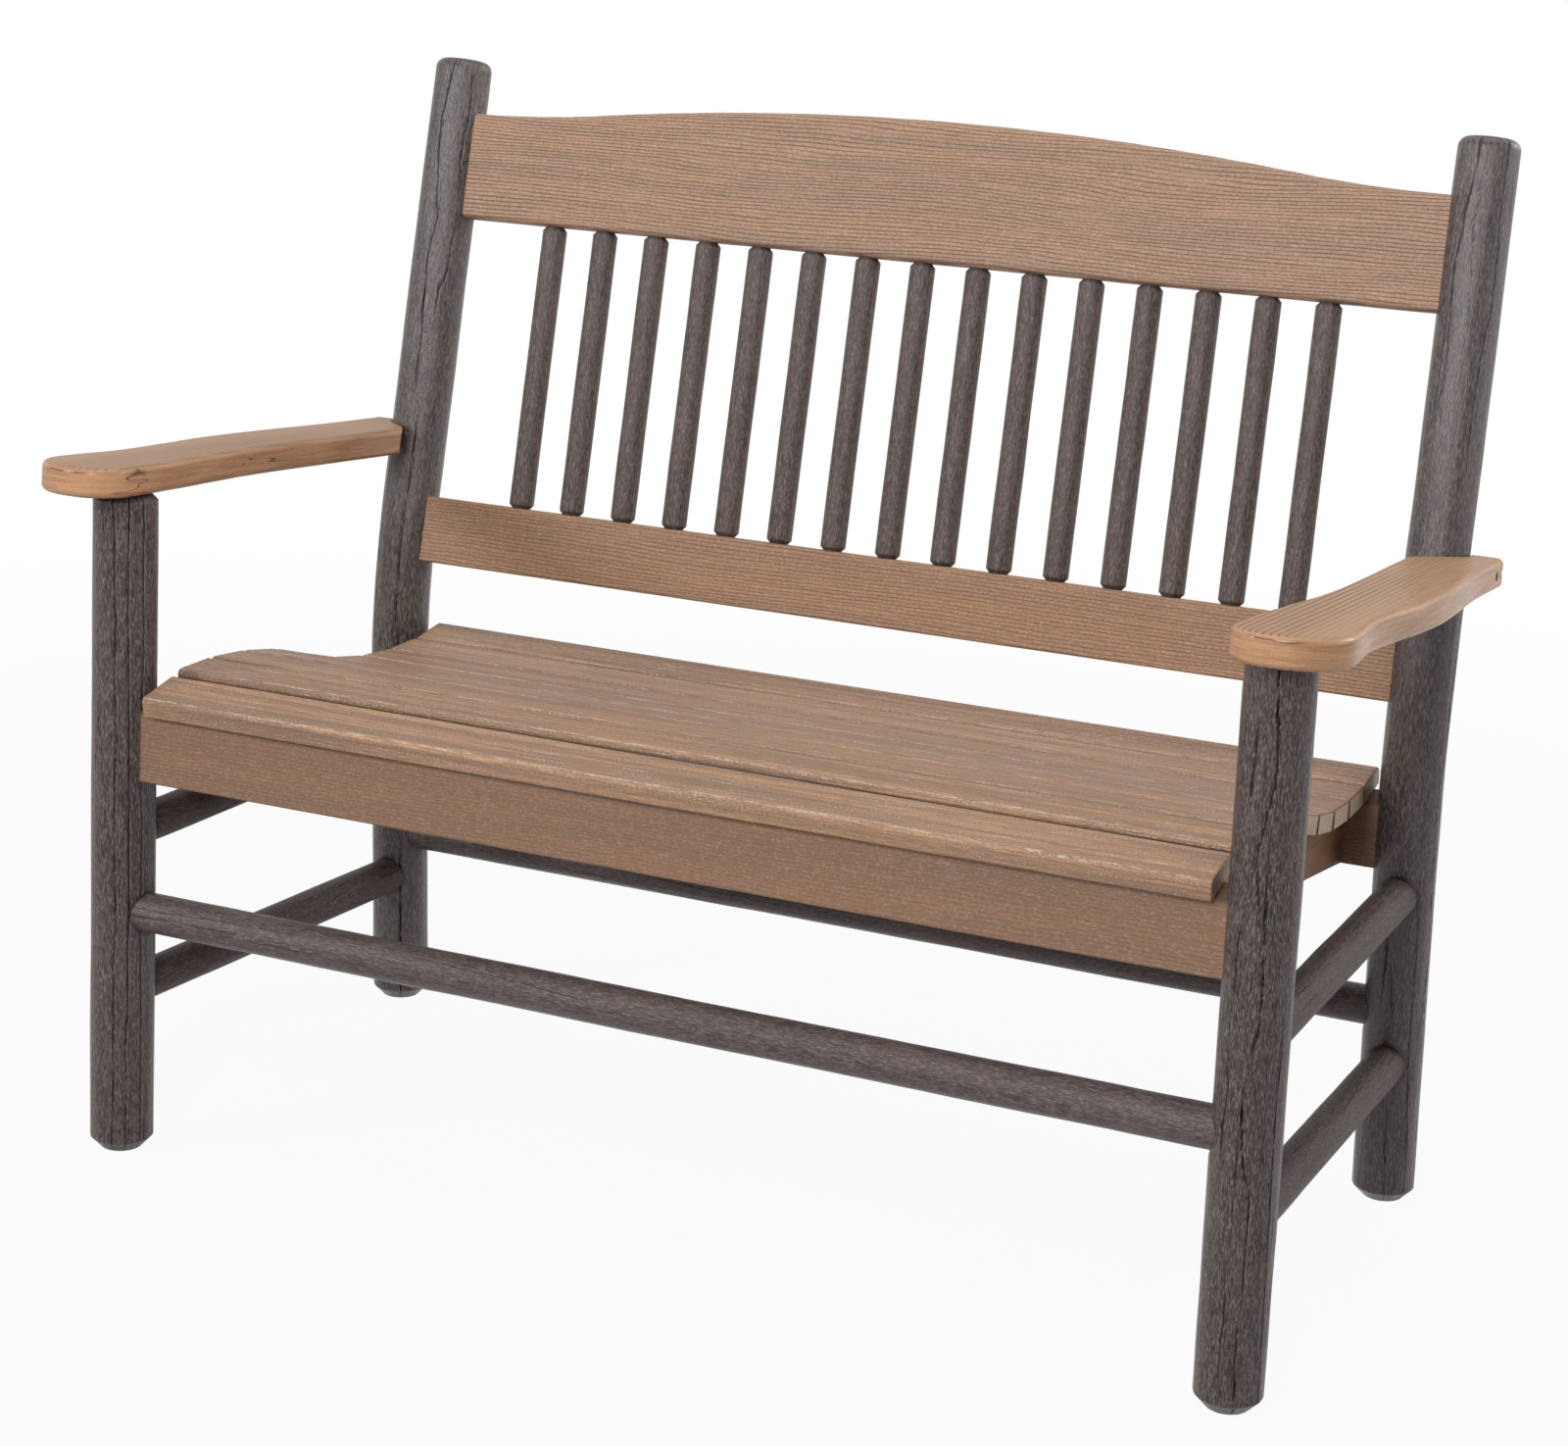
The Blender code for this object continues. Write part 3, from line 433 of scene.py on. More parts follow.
def lay_skin(node, kind, rings, fields, finish, crease, flip=False):
    """Piece on the bench's body in place of its CAD node, with its fields as surface attributes.

    Quads join rings of equal count, a flat face closes each end, and flip turns all faces round.
    """
    name = f"{node}_{kind}"
    rows, columns = rings.shape[:2]
    index, quads = ring_faces(rows, columns)
    faces = [quads, index[:1, ::-1], index[-1:]]
    loops = np.concatenate([(part[:, ::-1] if flip else part).ravel() for part in faces])
    counts = np.repeat((4, columns), (len(quads), 2))
    starts = np.cumsum(counts) - counts
    mesh = bpy.data.meshes.new(name)
    mesh.vertices.add(rows * columns)
    mesh.vertices.foreach_set("co", rings.astype(np.float32).ravel())
    mesh.loops.add(len(loops))
    mesh.loops.foreach_set("vertex_index", loops.astype(np.int32))
    mesh.polygons.add(len(starts))
    mesh.polygons.foreach_set("loop_start", starts.astype(np.int32))
    mesh.update(calc_edges=True)
    if mesh.validate():
        raise RuntimeError(f"the mesh of {name} has faulty faces")
    for key, field in fields.items():
        vector = field.ndim == 3
        attribute = mesh.attributes.new(key, "FLOAT_VECTOR" if vector else "FLOAT", "POINT")
        values = field.astype(np.float32).ravel()
        attribute.data.foreach_set("vector" if vector else "value", values)
    mesh.shade_smooth()
    mesh.set_sharp_from_angle(angle=math.radians(crease))
    mesh.materials.append(finish)
    item = add_object(name, mesh)
    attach(item, BODY)
    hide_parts(node)


# Logs

CRACK_REACH = 4.5
CRACK_TAPER = 0.05
RIM_REACH = 0.0016
RIM_DEPTH = 0.0007
FIBRE_RELIEF = 0.00014
LOG_CREASE = 62.0
POST_HOLLOW = 0.0005
RUNG_HOLLOW = 0.0003
SPINDLE_HOLLOW = 0.0002
SMALLEST_RING = 0.004
POST_SEEDS = {"front": 11, "rear": 31}
LONG_CRACK_SEED = 500
RUNG_SEED = 61
SPINDLE_SEED = 90

# Step along the profile and number of sides of each kind of log
LOG_MESH = {
    "front": (0.0022, 144), "rear": (0.0030, 128), "rung": (0.0040, 96), "spindle": (0.0040, 64)}

# Lightness of the tones, set for each copy of the one log material as painted light: lighter on the
# stretchers and spindles, darker on the rear posts; scale of the fibres, specular level and strength of the
# fibres
LOG_FINISHES = {
    "dark_log_post": (0.95, 370.0, 0.32, 1.0),
    "dark_log_rear_post": (0.88, 370.0, 0.48, 1.0),
    "dark_log_rung": (1.20, 330.0, 0.28, 0.60),
    "dark_log_side_rung": (1.05, 330.0, 0.08, 0.60),
    "dark_log_spindle": (1.25, 400.0, 0.24, 0.70),
}

# Seeded cracks: count, range of their lengths as shares of the log's, width and depth as shares of a
# long crack's, darkness, and wander
SEEDED_CRACKS = {
    "post_long": (7, (0.30, 0.80), 0.8, 0.6, 0.6, 0.0008),
    "post_short": (15, (0.05, 0.18), 0.7, 0.5, 0.7, 0.0022),
    "rung": (16, (0.06, 0.30), 0.6, 0.4, 0.7, 0.0008),
    "spindle": (6, (0.1, 0.4), 0.5, 0.25, 0.45, 0.0008),
}


def crack_marks(along, angle, radius, cracks):
    """Depth of a log's cracks, with the nearest one's signed distance in its widths, and its strength.

    Each crack follows a wandering line along the log. Its section is a Gaussian groove between two
    low Gaussian lips, and it tapers to nothing at both its ends.
    """
    depth = np.zeros_like(angle)
    offset = np.full_like(angle, CRACK_REACH)
    strength = np.zeros_like(angle)
    for crack in cracks:
        seed = crack["seed"]
        line = np.interp(along, crack["along"], crack["angle"])
        jog = drift(seed, 7, along / 0.14) + 0.40 * drift(seed + 1, 9, along / 0.016)
        line = line + crack["wander"] / radius * jog
        across = ((angle - line + math.pi) % FULL_TURN - math.pi) * radius
        start, end = crack["along"][0], crack["along"][-1]
        taper = min(CRACK_TAPER, (end - start) / 3)
        present = rise(along, start, start + taper) * (1 - rise(along, end - taper, end))
        uneven = 0.80 + 0.34 * drift(seed + 2, 6, along / 0.07)
        present = present * uneven.clip(crack["least"], 1.0)
        across = across / crack["width"]
        groove = np.exp(-across ** 2)
        lips = np.exp(-((np.abs(across) - 2.2) / 1.2) ** 2)
        depth = depth + crack["depth"] * present * (0.28 * lips - groove)
        closer = np.abs(across) < np.abs(offset)
        offset = np.where(closer, across, offset)
        strength = np.where(closer, present * crack["shade"], strength)
    strength = strength * (1 - rise(np.abs(offset), 0.55 * CRACK_REACH, CRACK_REACH))
    return depth, offset, strength


def random_cracks(kind, seed, length, radius, look):
    """Seeded cracks of a kind, of mixed length and size, spread round and along a log."""
    count, reach, width, depth, shade, wander = SEEDED_CRACKS[kind]
    width, depth = look.crack_width * width, look.crack_depth * depth
    rng = np.random.default_rng(seed)
    turns = (np.arange(count) + rng.uniform(0.0, 0.8, count)) * (FULL_TURN / count)
    cracks = []
    for turn in rng.permutation(turns):
        share = length * rng.uniform(*reach)
        start = rng.uniform(-0.1 * length, 1.1 * length - share)
        size = rng.uniform(0.55, 1.0)
        cracks.append({
            "along": np.array([start, start + share]),
            "angle": np.array([turn, turn + rng.normal() * 0.05 * share / radius]),
            "wander": wander * size, "width": width * size, "depth": depth * size,
            "shade": shade * rng.uniform(0.5, 1.0), "least": 0.30,
            "seed": int(rng.integers(1, 10 ** 6)),
        })
    return cracks


def hole_rims(rings, holes):
    """Closeness of a log's surface to the rims of round holes: 1 at a rim, falling as a Gaussian."""
    rim = np.zeros(rings.shape[:2])
    for point, direction, radius in holes:
        away = rings - np.asarray(point)
        ahead = away @ np.asarray(direction)
        gap = np.sqrt(np.maximum((away ** 2).sum(axis=-1) - ahead ** 2, 0.0)) - radius
        near = np.exp(-(np.maximum(gap, 0.0) / RIM_REACH) ** 2) * (ahead > 0.0)
        rim = np.maximum(rim, near)
    return rim


def log_skin(node, finish, centres, normals, profile, angle, cracks, seed, hollow, holes=()):
    """Log surface: each ring is its centre plus the profile's radius along its normals, less the relief.

    The relief is a slow hollow and swell, lengthwise fibres, the cracks and a dip round each hole.
    """
    radii = profile[:, 0]
    radius = float(np.max(radii))
    stretch, turn = np.meshgrid(profile[:, 1], angle, indexing="ij")
    side_a, side_b = np.cos(turn) * radius, np.sin(turn) * radius
    depth, offset, strength = crack_marks(stretch, turn, radius, cracks)
    swell = drift(seed, 6, side_a / 0.09, side_b / 0.09, stretch / 0.30)
    fibre = drift(seed + 1, 14, side_a / 0.012, side_b / 0.012, stretch / 0.16)
    depth = depth + hollow * (swell - 1.6) * 0.5 + FIBRE_RELIEF * (fibre - 1.0)
    # The closeness to a hole's rim sinks the surface a little and is also painted as shade in the finish
    rim = hole_rims(centres[:, None] + normals * radii[:, None, None], holes)
    depth = depth - RIM_DEPTH * rim
    free = rise(radii / radius, 0.55, 1.0)[:, None]
    rings = centres[:, None] + normals * (radii[:, None] + depth * free)[..., None]
    end = 1 - rise(radii / radius, 0.80, 0.999)
    fields = {
        "grain": points(side_a + seed % 37 * 0.1, side_b, stretch),
        "crack": points(offset, strength * free, 0.0),
        "mark": points(rim, end[:, None], 0.0),
    }
    lay_skin(node, "log", rings, fields, finish, LOG_CREASE)


def front_axis(along):
    """Front post's upright axis by height, its rings sawn to the arm's slope towards the top.

    Gives Y, Z, and the shares of a ring's Y direction that run level and down.
    """
    slope = math.tan(ARM_TILT) * np.clip(along / FRONT_TOP, 0.0, 1.0)
    return FRONT_Y, along, 1.0, slope


def rear_axis(along):
    """Rear post's axis by distance from the foot: straight leg, arc, straight back.

    Gives Y, Z, and the shares of a ring's Y direction that run level and down. The foot is level.
    """
    lean = np.clip((along - LEG_LENGTH) / BEND_RADIUS, 0.0, BEND_TURN) - LEG_LEAN
    start_y = BEND_Y + BEND_TANGENT * math.sin(LEG_LEAN)
    start_z = BEND_HEIGHT - BEND_TANGENT * math.cos(LEG_LEAN)
    centre_y = start_y + BEND_RADIUS * math.cos(LEG_LEAN)
    centre_z = start_z + BEND_RADIUS * math.sin(LEG_LEAN)
    y = centre_y - BEND_RADIUS * np.cos(lean)
    z = centre_z + BEND_RADIUS * np.sin(lean)
    below = np.minimum(along - LEG_LENGTH, 0.0)
    above = np.maximum(along - LEG_LENGTH - BEND_LENGTH, 0.0)
    y = y - below * math.sin(LEG_LEAN) + above * math.sin(BACK_LEAN)
    z = z + below * math.cos(LEG_LEAN) + above * math.cos(BACK_LEAN)
    level = np.clip((along - FOOT_CHAMFER) / (LEG_LENGTH - FOOT_CHAMFER), 0.0, 1.0)
    tip = lean * np.where(along < LEG_LENGTH, level, 1.0)
    return y, z, np.cos(tip)[:, None], np.sin(tip)


def back_point(climb, offset=0.0):
    """Y and Z this far up the back from the bend, offset to the rear of its plane."""
    y = BEND_Y + climb * math.sin(BACK_LEAN) + offset * math.cos(BACK_LEAN)
    z = BEND_HEIGHT + climb * math.cos(BACK_LEAN) - offset * math.sin(BACK_LEAN)
    return y, z


def rear_y_at(height):
    """Y of the rear post's axis at a height."""
    y, z, _, _ = rear_axis(np.linspace(0.0, REAR_LENGTH, 4000))
    return float(np.interp(height, z, y))


def circle_angles(count):
    """Even angles of a ring."""
    return np.arange(count) * (FULL_TURN / count)


def post_skin(end, label, side, finish, look, seed, holes):
    """Post: circles of the profile's radius carried along the post's axis, each tipped as it says."""
    if end == "front":
        axis, length, turn = front_axis, FRONT_TOP, LOG_EDGE_SOFT
        shoulder = (POST_RADIUS, length - FRONT_TOP_CHAMFER)
        head = (POST_RADIUS - FRONT_TOP_CHAMFER, length)
    else:
        axis, length, turn = rear_axis, REAR_LENGTH, POST_TOP_ROUND
        shoulder, head = (POST_RADIUS, length), (0.0, length)
    step, sides = LOG_MESH[end]
    corners = [(POST_RADIUS - FOOT_CHAMFER, 0.0), (POST_RADIUS, FOOT_CHAMFER), shoulder, head]
    profile = filleted(corners, (0.0, LOG_EDGE_SOFT, turn, 0.0), step, False)
    profile = profile[profile[:, 0] > SMALLEST_RING]
    angle = circle_angles(sides)
    y, z, level, down = axis(profile[:, 1])
    normals = points(np.cos(angle), np.sin(angle) * level, -np.sin(angle) * down[:, None])
    centres = points(side * POST_X, y, z)
    node = f"{end}_post_{label}"
    cracks = (
        post_cracks(node, look)
        + random_cracks("post_long", seed, length, POST_RADIUS, look)
        + random_cracks("post_short", seed + 5, length, POST_RADIUS, look))
    log_skin(node, finish, centres, normals, profile, angle, cracks, seed, POST_HOLLOW, holes)


def rod_skin(node, finish, start, end, profile, sides, cracks, seed, hollow):
    """Straight log: circles of the profile's radius on the line from start to end."""
    start, end = np.asarray(start, float), np.asarray(end, float)
    axis = unit(end - start)
    helper = np.array([0.0, 0.0, 1.0]) if abs(axis[2]) < 0.7 else np.array([0.0, 1.0, 0.0])
    first = unit(np.cross(helper, axis))
    second = np.cross(axis, first)
    angle = circle_angles(sides)
    ring = np.cos(angle)[:, None] * first + np.sin(angle)[:, None] * second
    normals = np.broadcast_to(ring, (len(profile), sides, 3))
    centres = start + profile[:, 1:] * axis
    log_skin(node, finish, centres, normals, profile, angle, cracks, seed, hollow)


def log_finish(name, look):
    """Dark moulded log: fibres and pale flecks along it, thin cracks painted dark as shade with a painted
    highlight on the lips of one side, painted shade round the stretcher holes, dark ends.
    """
    # This part's copy is made lighter or darker here as painted light
    light, fibre_scale, gloss, contrast = LOG_FINISHES[name]
    paint = Finish(name)
    grain = paint.attribute("grain")
    offset, strength, _ = paint.separate(paint.attribute("crack"))
    rim, end, _ = paint.separate(paint.attribute("mark"))
    streak = paint.noise(grain, (1.0, 1.0, 0.06), fibre_scale, 3.0, 0.6)
    fibre = paint.noise(grain, (1.0, 1.0, 0.13), fibre_scale * 2.2, 3.0, 0.62)
    fleck = paint.noise(grain, (1.0, 1.0, 0.20), fibre_scale * 3.2, 2.0, 0.55)
    patch = paint.noise(grain, (1.0, 1.0, 0.40), 26.0, 3.0, 0.55)
    body, pale = tinted(look.body, light), tinted(look.fleck, light)
    dark = tuple(b + (light * s - b) * contrast for s, b in zip(look.shade, body))
    bright = paint.step(fleck, 0.46, 0.62) * paint.step(fibre, 0.36, 0.58)
    # Each crack is painted dark along its groove as shade, and the lips on its positive side pale as a
    # painted highlight
    ragged = offset.size() + (fibre - 0.5) * 0.9
    line = strength * paint.step(ragged, 0.35, 0.95, 1.0, 0.0)
    lip_highlight = strength * paint.step(offset, 0.70, 1.20) * paint.step(offset, 1.60, 2.60, 1.0, 0.0)
    tone = paint.layer(
        dark,
        (paint.step(fibre, 0.32, 0.62), body),
        (paint.step(streak, 0.30, 0.52, 0.50, 0.0), dark),
        (paint.step(patch, 0.40, 0.75, 0.0, 0.25), tinted(look.body, light * 1.5)),
        (bright * (0.75 * contrast), pale),
        (lip_highlight * 0.60, pale),
        (paint.step(line, 0.05, 0.55, 0.0, 0.95), tinted(look.shade, 0.25)),
        # Painted shade round the rims of the stretcher holes
        (rim * 0.75, tinted(look.shade, 0.5)),
        (end * 0.45, tinted(look.shade, light * 1.3)))
    smooth, dull = 0.44 - 0.45 * gloss, 0.58 - 0.45 * gloss
    rough = paint.step(fibre, 0.30, 0.72, smooth, dull) + line * 0.3
    height = streak * 0.5 + fibre * 0.7 + fleck * 0.4 + lip_highlight * 0.5 - line * 1.6
    normal = paint.bump(height, 0.0010, 0.7)
    return paint.apply(
        Base_Color=tone, Roughness=rough, Normal=normal, IOR=1.46, Specular_IOR_Level=gloss)


class BENCH_OT_posts(bpy.types.Operator):
    """Build the four fissured posts"""
    bl_idname = "bench.posts"
    bl_label = "Posts"

    def execute(self, context):
        look = context.scene.bench_logs
        ends = (
            ("front", FRONT_Y, log_finish("dark_log_post", look)),
            ("rear", FRONT_Y + FOOT_SPREAD, log_finish("dark_log_rear_post", look)),
        )
        runs = rung_runs()
        for number, (label, side) in enumerate(SIDES):
            for end, y, finish in ends:
                holes = rung_holes(runs, side, y)
                post_skin(end, label, side, finish, look, POST_SEEDS[end] + number, holes)
        return {"FINISHED"}


# Long cracks of the posts: heights up the log and angles about it, in degrees from +X
LONG_CRACKS = {
    "front_post_left": (
        ((-0.05, 0.125, 0.221, 0.316, 0.456, 0.548, 0.68), (-71.0, -71.5, -69.5, -70.0, -70.0, -73.5, -76.0)),
        ((-0.05, 0.077, 0.173, 0.268, 0.400, 0.502, 0.68), (-48.5, -48.0, -45.0, -43.5, -45.0, -47.0, -47.5)),
        ((-0.05, 0.30, 0.70), (-18.0, -20.0, -19.0)),
    ),
    "front_post_right": (
        ((0.400, 0.424, 0.439, 0.459, 0.479, 0.500, 0.520, 0.536, 0.568, 0.66),
         (-66.0, -77.0, -83.5, -87.5, -89.0, -82.5, -76.5, -70.0, -71.5, -81.5)),
        ((0.290, 0.314, 0.335, 0.367, 0.392, 0.416, 0.436, 0.452, 0.490),
         (-80.0, -75.5, -69.5, -66.5, -68.0, -71.5, -69.5, -72.0, -80.0)),
        ((0.080, 0.136, 0.186, 0.203, 0.211, 0.227, 0.260, 0.280, 0.305),
         (-62.0, -63.5, -62.5, -66.5, -73.5, -77.0, -84.5, -84.5, -78.0)),
        ((-0.05, 0.017, 0.047, 0.068, 0.100), (-63.0, -64.0, -68.0, -68.0, -66.0)),
        ((0.500, 0.533, 0.553, 0.600), (-110.0, -108.5, -105.0, -104.0)),
        ((0.345, 0.383, 0.400, 0.430), (-113.5, -113.0, -113.5, -103.0)),
        ((0.200, 0.247, 0.281, 0.330), (-116.5, -118.5, -112.5, -123.0)),
        ((-0.05, 0.056, 0.124, 0.201, 0.251, 0.34), (-15.0, -17.5, -22.0, -27.0, -26.5, -22.0)),
    ),
    "rear_post_left": (
        ((-0.05, 0.22, 0.45), (-60.0, -57.0, -62.0)),
        ((0.640, 0.686, 0.729, 0.770, 0.799, 0.836, 0.852, 0.874, 0.920, 0.952, 0.989, 1.06),
         (-79.0, -80.5, -80.5, -84.5, -87.0, -81.0, -77.0, -84.0, -92.5, -96.0, -85.0, -70.0)),
        ((0.855, 0.871, 0.891, 0.906, 0.929, 0.958, 1.03), (-35.0, -34.5, -32.5, -43.0, -42.0, -36.5, -44.0)),
        ((0.740, 0.774, 0.786, 0.799, 0.819, 0.850), (-56.0, -55.5, -46.0, -41.0, -41.0, -34.0)),
        ((0.38, 0.50, 0.66), (-66.0, -71.0, -66.0)),
    ),
    "rear_post_right": (
        ((-0.05, 0.030, 0.086, 0.143, 0.252, 0.36), (-31.0, -34.0, -39.0, -44.0, -45.0, -50.0)),
        ((0.190, 0.235, 0.290), (-103.0, -103.0, -99.0)),
        ((0.160, 0.179, 0.222, 0.26), (-77.0, -79.0, -87.5, -92.0)),
        ((-0.05, 0.032, 0.13), (-73.0, -74.5, -81.0)),
        ((0.700, 0.747, 0.801, 0.852, 0.907, 0.963, 1.06), (-48.0, -46.5, -44.0, -36.0, -38.5, -38.5, -44.0)),
        ((0.740, 0.786, 0.806, 0.871, 0.899, 0.925, 0.948, 0.979, 1.06),
         (-120.0, -111.0, -110.5, -113.0, -118.5, -109.0, -109.5, -99.5, -92.0)),
    ),
}

# How dark each post's long cracks are
CRACK_SHADES = {
    "front_post_left": 0.62, "front_post_right": 1.0, "rear_post_left": 0.9, "rear_post_right": 0.72}


def post_cracks(name, look):
    """The named post's long cracks, as given above."""
    return [{
        "along": np.array(along), "angle": np.radians(degrees), "wander": 0.0006,
        "shade": CRACK_SHADES[name], "least": 0.75, "width": look.crack_width,
        "depth": look.crack_depth, "seed": LONG_CRACK_SEED + 10 * len(name) + number,
    } for number, (along, degrees) in enumerate(LONG_CRACKS[name])]


def rung_runs():
    """Axis ends of each stretcher, on the axes of the posts that it joins."""
    runs = {}
    for node, y in (("front_stretcher", FRONT_Y), ("rear_stretcher", middle("rear_stretcher").y)):
        height = middle(node).z
        runs[node] = ((-POST_X, y, height), (POST_X, y, height))
    heights = {
        "upper": (SIDE_UPPER_HEIGHT, SIDE_UPPER_HEIGHT),
        "lower": (SIDE_LOWER_FRONT_HEIGHT, SIDE_LOWER_REAR_HEIGHT),
    }
    for level, (front, rear) in heights.items():
        for label, side in SIDES:
            x = side * POST_X
            runs[f"side_stretcher_{level}_{label}"] = (
                (x, FRONT_Y, front), (x, rear_y_at(rear), rear))
    return runs


def rung_holes(runs, side, y):
    """Point, direction and radius of the stretcher holes in the post on this side near this Y."""
    holes = []
    for start, end in runs.values():
        for here, there in ((start, end), (end, start)):
            if here[0] * side > 0 and abs(here[1] - y) < 0.1:
                direction = (np.array(there) - np.array(here)) / math.dist(here, there)
                holes.append((here, direction, RUNG_RADIUS))
    return holes


class BENCH_OT_rungs(bpy.types.Operator):
    """Build the six round stretchers between the posts"""
    bl_idname = "bench.rungs"
    bl_label = "Stretchers"

    def execute(self, context):
        look = context.scene.bench_logs
        satin = log_finish("dark_log_rung", look)
        matt = log_finish("dark_log_side_rung", look)
        step, sides = LOG_MESH["rung"]
        reach = POST_RADIUS - RUNG_SEAT_DEPTH
        slim = RUNG_RADIUS - RUNG_END_CHAMFER
        for seed, (node, (start, end)) in enumerate(rung_runs().items(), RUNG_SEED):
            length = math.dist(start, end)
            line = [
                (slim, reach), (RUNG_RADIUS, reach + RUNG_END_CHAMFER),
                (RUNG_RADIUS, length - reach - RUNG_END_CHAMFER), (slim, length - reach),
            ]
            profile = filleted(line, (0.0, 0.0, 0.0, 0.0), step, False)
            cracks = random_cracks("rung", seed, length, RUNG_RADIUS, look)
            finish = matt if node.startswith("side") else satin
            rod_skin(node, finish, start, end, profile, sides, cracks, seed, RUNG_HOLLOW)
        return {"FINISHED"}


class BENCH_OT_spindles(bpy.types.Operator):
    """Build the turned spindles of the back"""
    bl_idname = "bench.spindles"
    bl_label = "Spindles"

    def execute(self, context):
        look = context.scene.bench_logs
        finish = log_finish("dark_log_spindle", look)
        step, sides = LOG_MESH["spindle"]
        low = LOWER_RAIL_RISE + LOWER_RAIL_HEIGHT
        length = CREST_RISE - low
        tenon, cone = SPINDLE_TENON_RADIUS, SPINDLE_RADIUS - SPINDLE_TENON_RADIUS
        line = [
            (tenon, -SPINDLE_TENON_LENGTH), (tenon, 0.0), (SPINDLE_RADIUS, cone),
            (SPINDLE_RADIUS, length - cone), (tenon, length), (tenon, length + SPINDLE_TENON_LENGTH),
        ]
        soft = SPINDLE_SHOULDER_SOFT
        profile = filleted(line, (0.0, 0.0, soft, soft, 0.0, 0.0), step, False)
        up = np.array([0.0, math.sin(BACK_LEAN), math.cos(BACK_LEAN)])
        y, z = back_point(low)
        for number in range(1, SPINDLE_COUNT + 1):
            node = f"back_spindle_{number:02d}"
            seed = SPINDLE_SEED + number
            start = np.array([middle(node).x, y, z])
            cracks = random_cracks("spindle", seed, length, SPINDLE_RADIUS, look)
            rod_skin(node, finish, start, start + up, profile, sides, cracks, seed, SPINDLE_HOLLOW)
        return {"FINISHED"}


# Boards

BOARD_STEP = 0.008
BOARD_CREASE = 40.0
END_EDGE = (0.150, 0.080, 0.048)
# Pale tone of the slat end faces: partly their end-grain colour, partly painted light
END_FACE = (0.54, 0.400, 0.300)
# Tint that darkens and dulls the rail tone for the bearers, as painted shade under the seat
BEARER_SHADE_TINT = (0.64, 0.54, 0.46)
APRON_SEEDS = {"front_apron": 211, "rear_apron": 212}
APRON_OUTLINE_STEP = 0.0010
APRON_SHADE = 0.7
APRON_SHADE_BAND = (0.012, 0.006)
SEAT_WAVE = 0.8
SLAT_SEED = 221
SLAT_STEP = 0.009
SLAT_OUTLINE_STEP = 0.0011
SLAT_RELIEF = 0.5
# The first slat's end marks are weakened, painting the front post's shade onto its end
FRONT_SLAT_END_SHADE = 0.3

# Tint of the colour, darker on the aprons and the lower back rail as painted shade, strength of the lines,
# streaks, flecks and bands, and specular level
BOARD_FINISHES = {
    "cedar_rail": ((1.0, 1.0, 1.0), 0.85, 0.22, 0.10, 0.35, 0.38),
    "cedar_low_rail": ((0.93, 0.86, 0.78), 0.60, 0.20, 0.08, 0.30, 0.28),
    "cedar_apron": ((0.63, 0.585, 0.55), 0.34, 0.16, 0.06, 0.25, 0.20),
    "cedar_slat": ((1.0, 1.0, 1.0), 0.26, 0.55, 0.80, 1.1, 0.26),
}


def grain_figure(seed, along, across, depth, pitch, wave):
    """Phase of a board's grain in turns: distance across the layers over their pitch, plus slow waves."""
    layers = (across + 0.45 * depth) / pitch
    slow = drift(seed, 6, along / 0.80, across / 0.14, depth / 0.10)
    quick = drift(seed + 1, 8, along / 0.16, across / 0.030, depth / 0.05)
    return layers + wave * (0.85 * slow + 0.17 * quick)


def board_skin(
        node, finish, stations, outline, place, seed, look, wave, relief,
        stretch=None, dark_joint_and_shade=None, ends=None):
    """Board: a rounded outline carried along X, with grain ridges raised on it.

    The outline is across and up in the board's own plane, and place turns it into Y and Z. Ridges
    are half a cosine of the grain's phase. Stretch lifts the outline's points at each station, and
    the function after it says how dark each point of the outline is painted, from 0 to 1: the
    slats' dark joints with painted shade in their gaps, and a painted shadow along each apron's top
    edge. Ends gives how far each station draws the outline in, and its mark: 1 on an end's eased
    edge, -1 on its face.
    """
    normals = outward(outline)
    inset, tone = np.zeros((2, len(stations))) if ends is None else ends
    along, across, up = np.broadcast_arrays(stations[:, None], outline[:, 0], outline[:, 1])
    if stretch is not None:
        up = up + stretch(along, up)
    figure = grain_figure(seed, along, up, across, look.pitch, wave)
    sink = -relief * ripple(figure) - inset[:, None]
    y, z = place(across + normals[:, 0] * sink, up + normals[:, 1] * sink)
    tip = np.degrees(np.arctan2(np.abs(normals[:, 0]), normals[:, 1]))
    # Top rounded edges: the pale broken flecks there are wear and also a painted highlight
    edge = rise(tip, 4.0, 16.0) * (1 - rise(tip, 24.0, 42.0))
    gaps_dark_and_shade = 0.0
    if dark_joint_and_shade is not None:
        gaps_dark_and_shade = dark_joint_and_shade(outline)
        # On a top face, a band over the rear part of the width is made negative, which the finish paints as
        # shade: on the slats, before each rear edge
        share = (outline[:, 0] - outline[:, 0].min()) / np.ptp(outline[:, 0])
        band = rise(share, 0.50, 0.80) * (1 - rise(share, 0.86, 0.97))
        edge = edge - band * (normals[:, 1] > 0.9)
    fields = {
        "grain": points(along + seed % 100 * 1.7, across, up + seed % 100 * 0.31),
        "figure": figure,
        "mark": points(edge, tone[:, None], gaps_dark_and_shade),
    }
    lay_skin(node, "board", points(along, y, z), fields, finish, BOARD_CREASE)


def even(half, step):
    """Even places from one end of a board to the other."""
    return np.linspace(-half, half, round(2 * half / step) + 1)


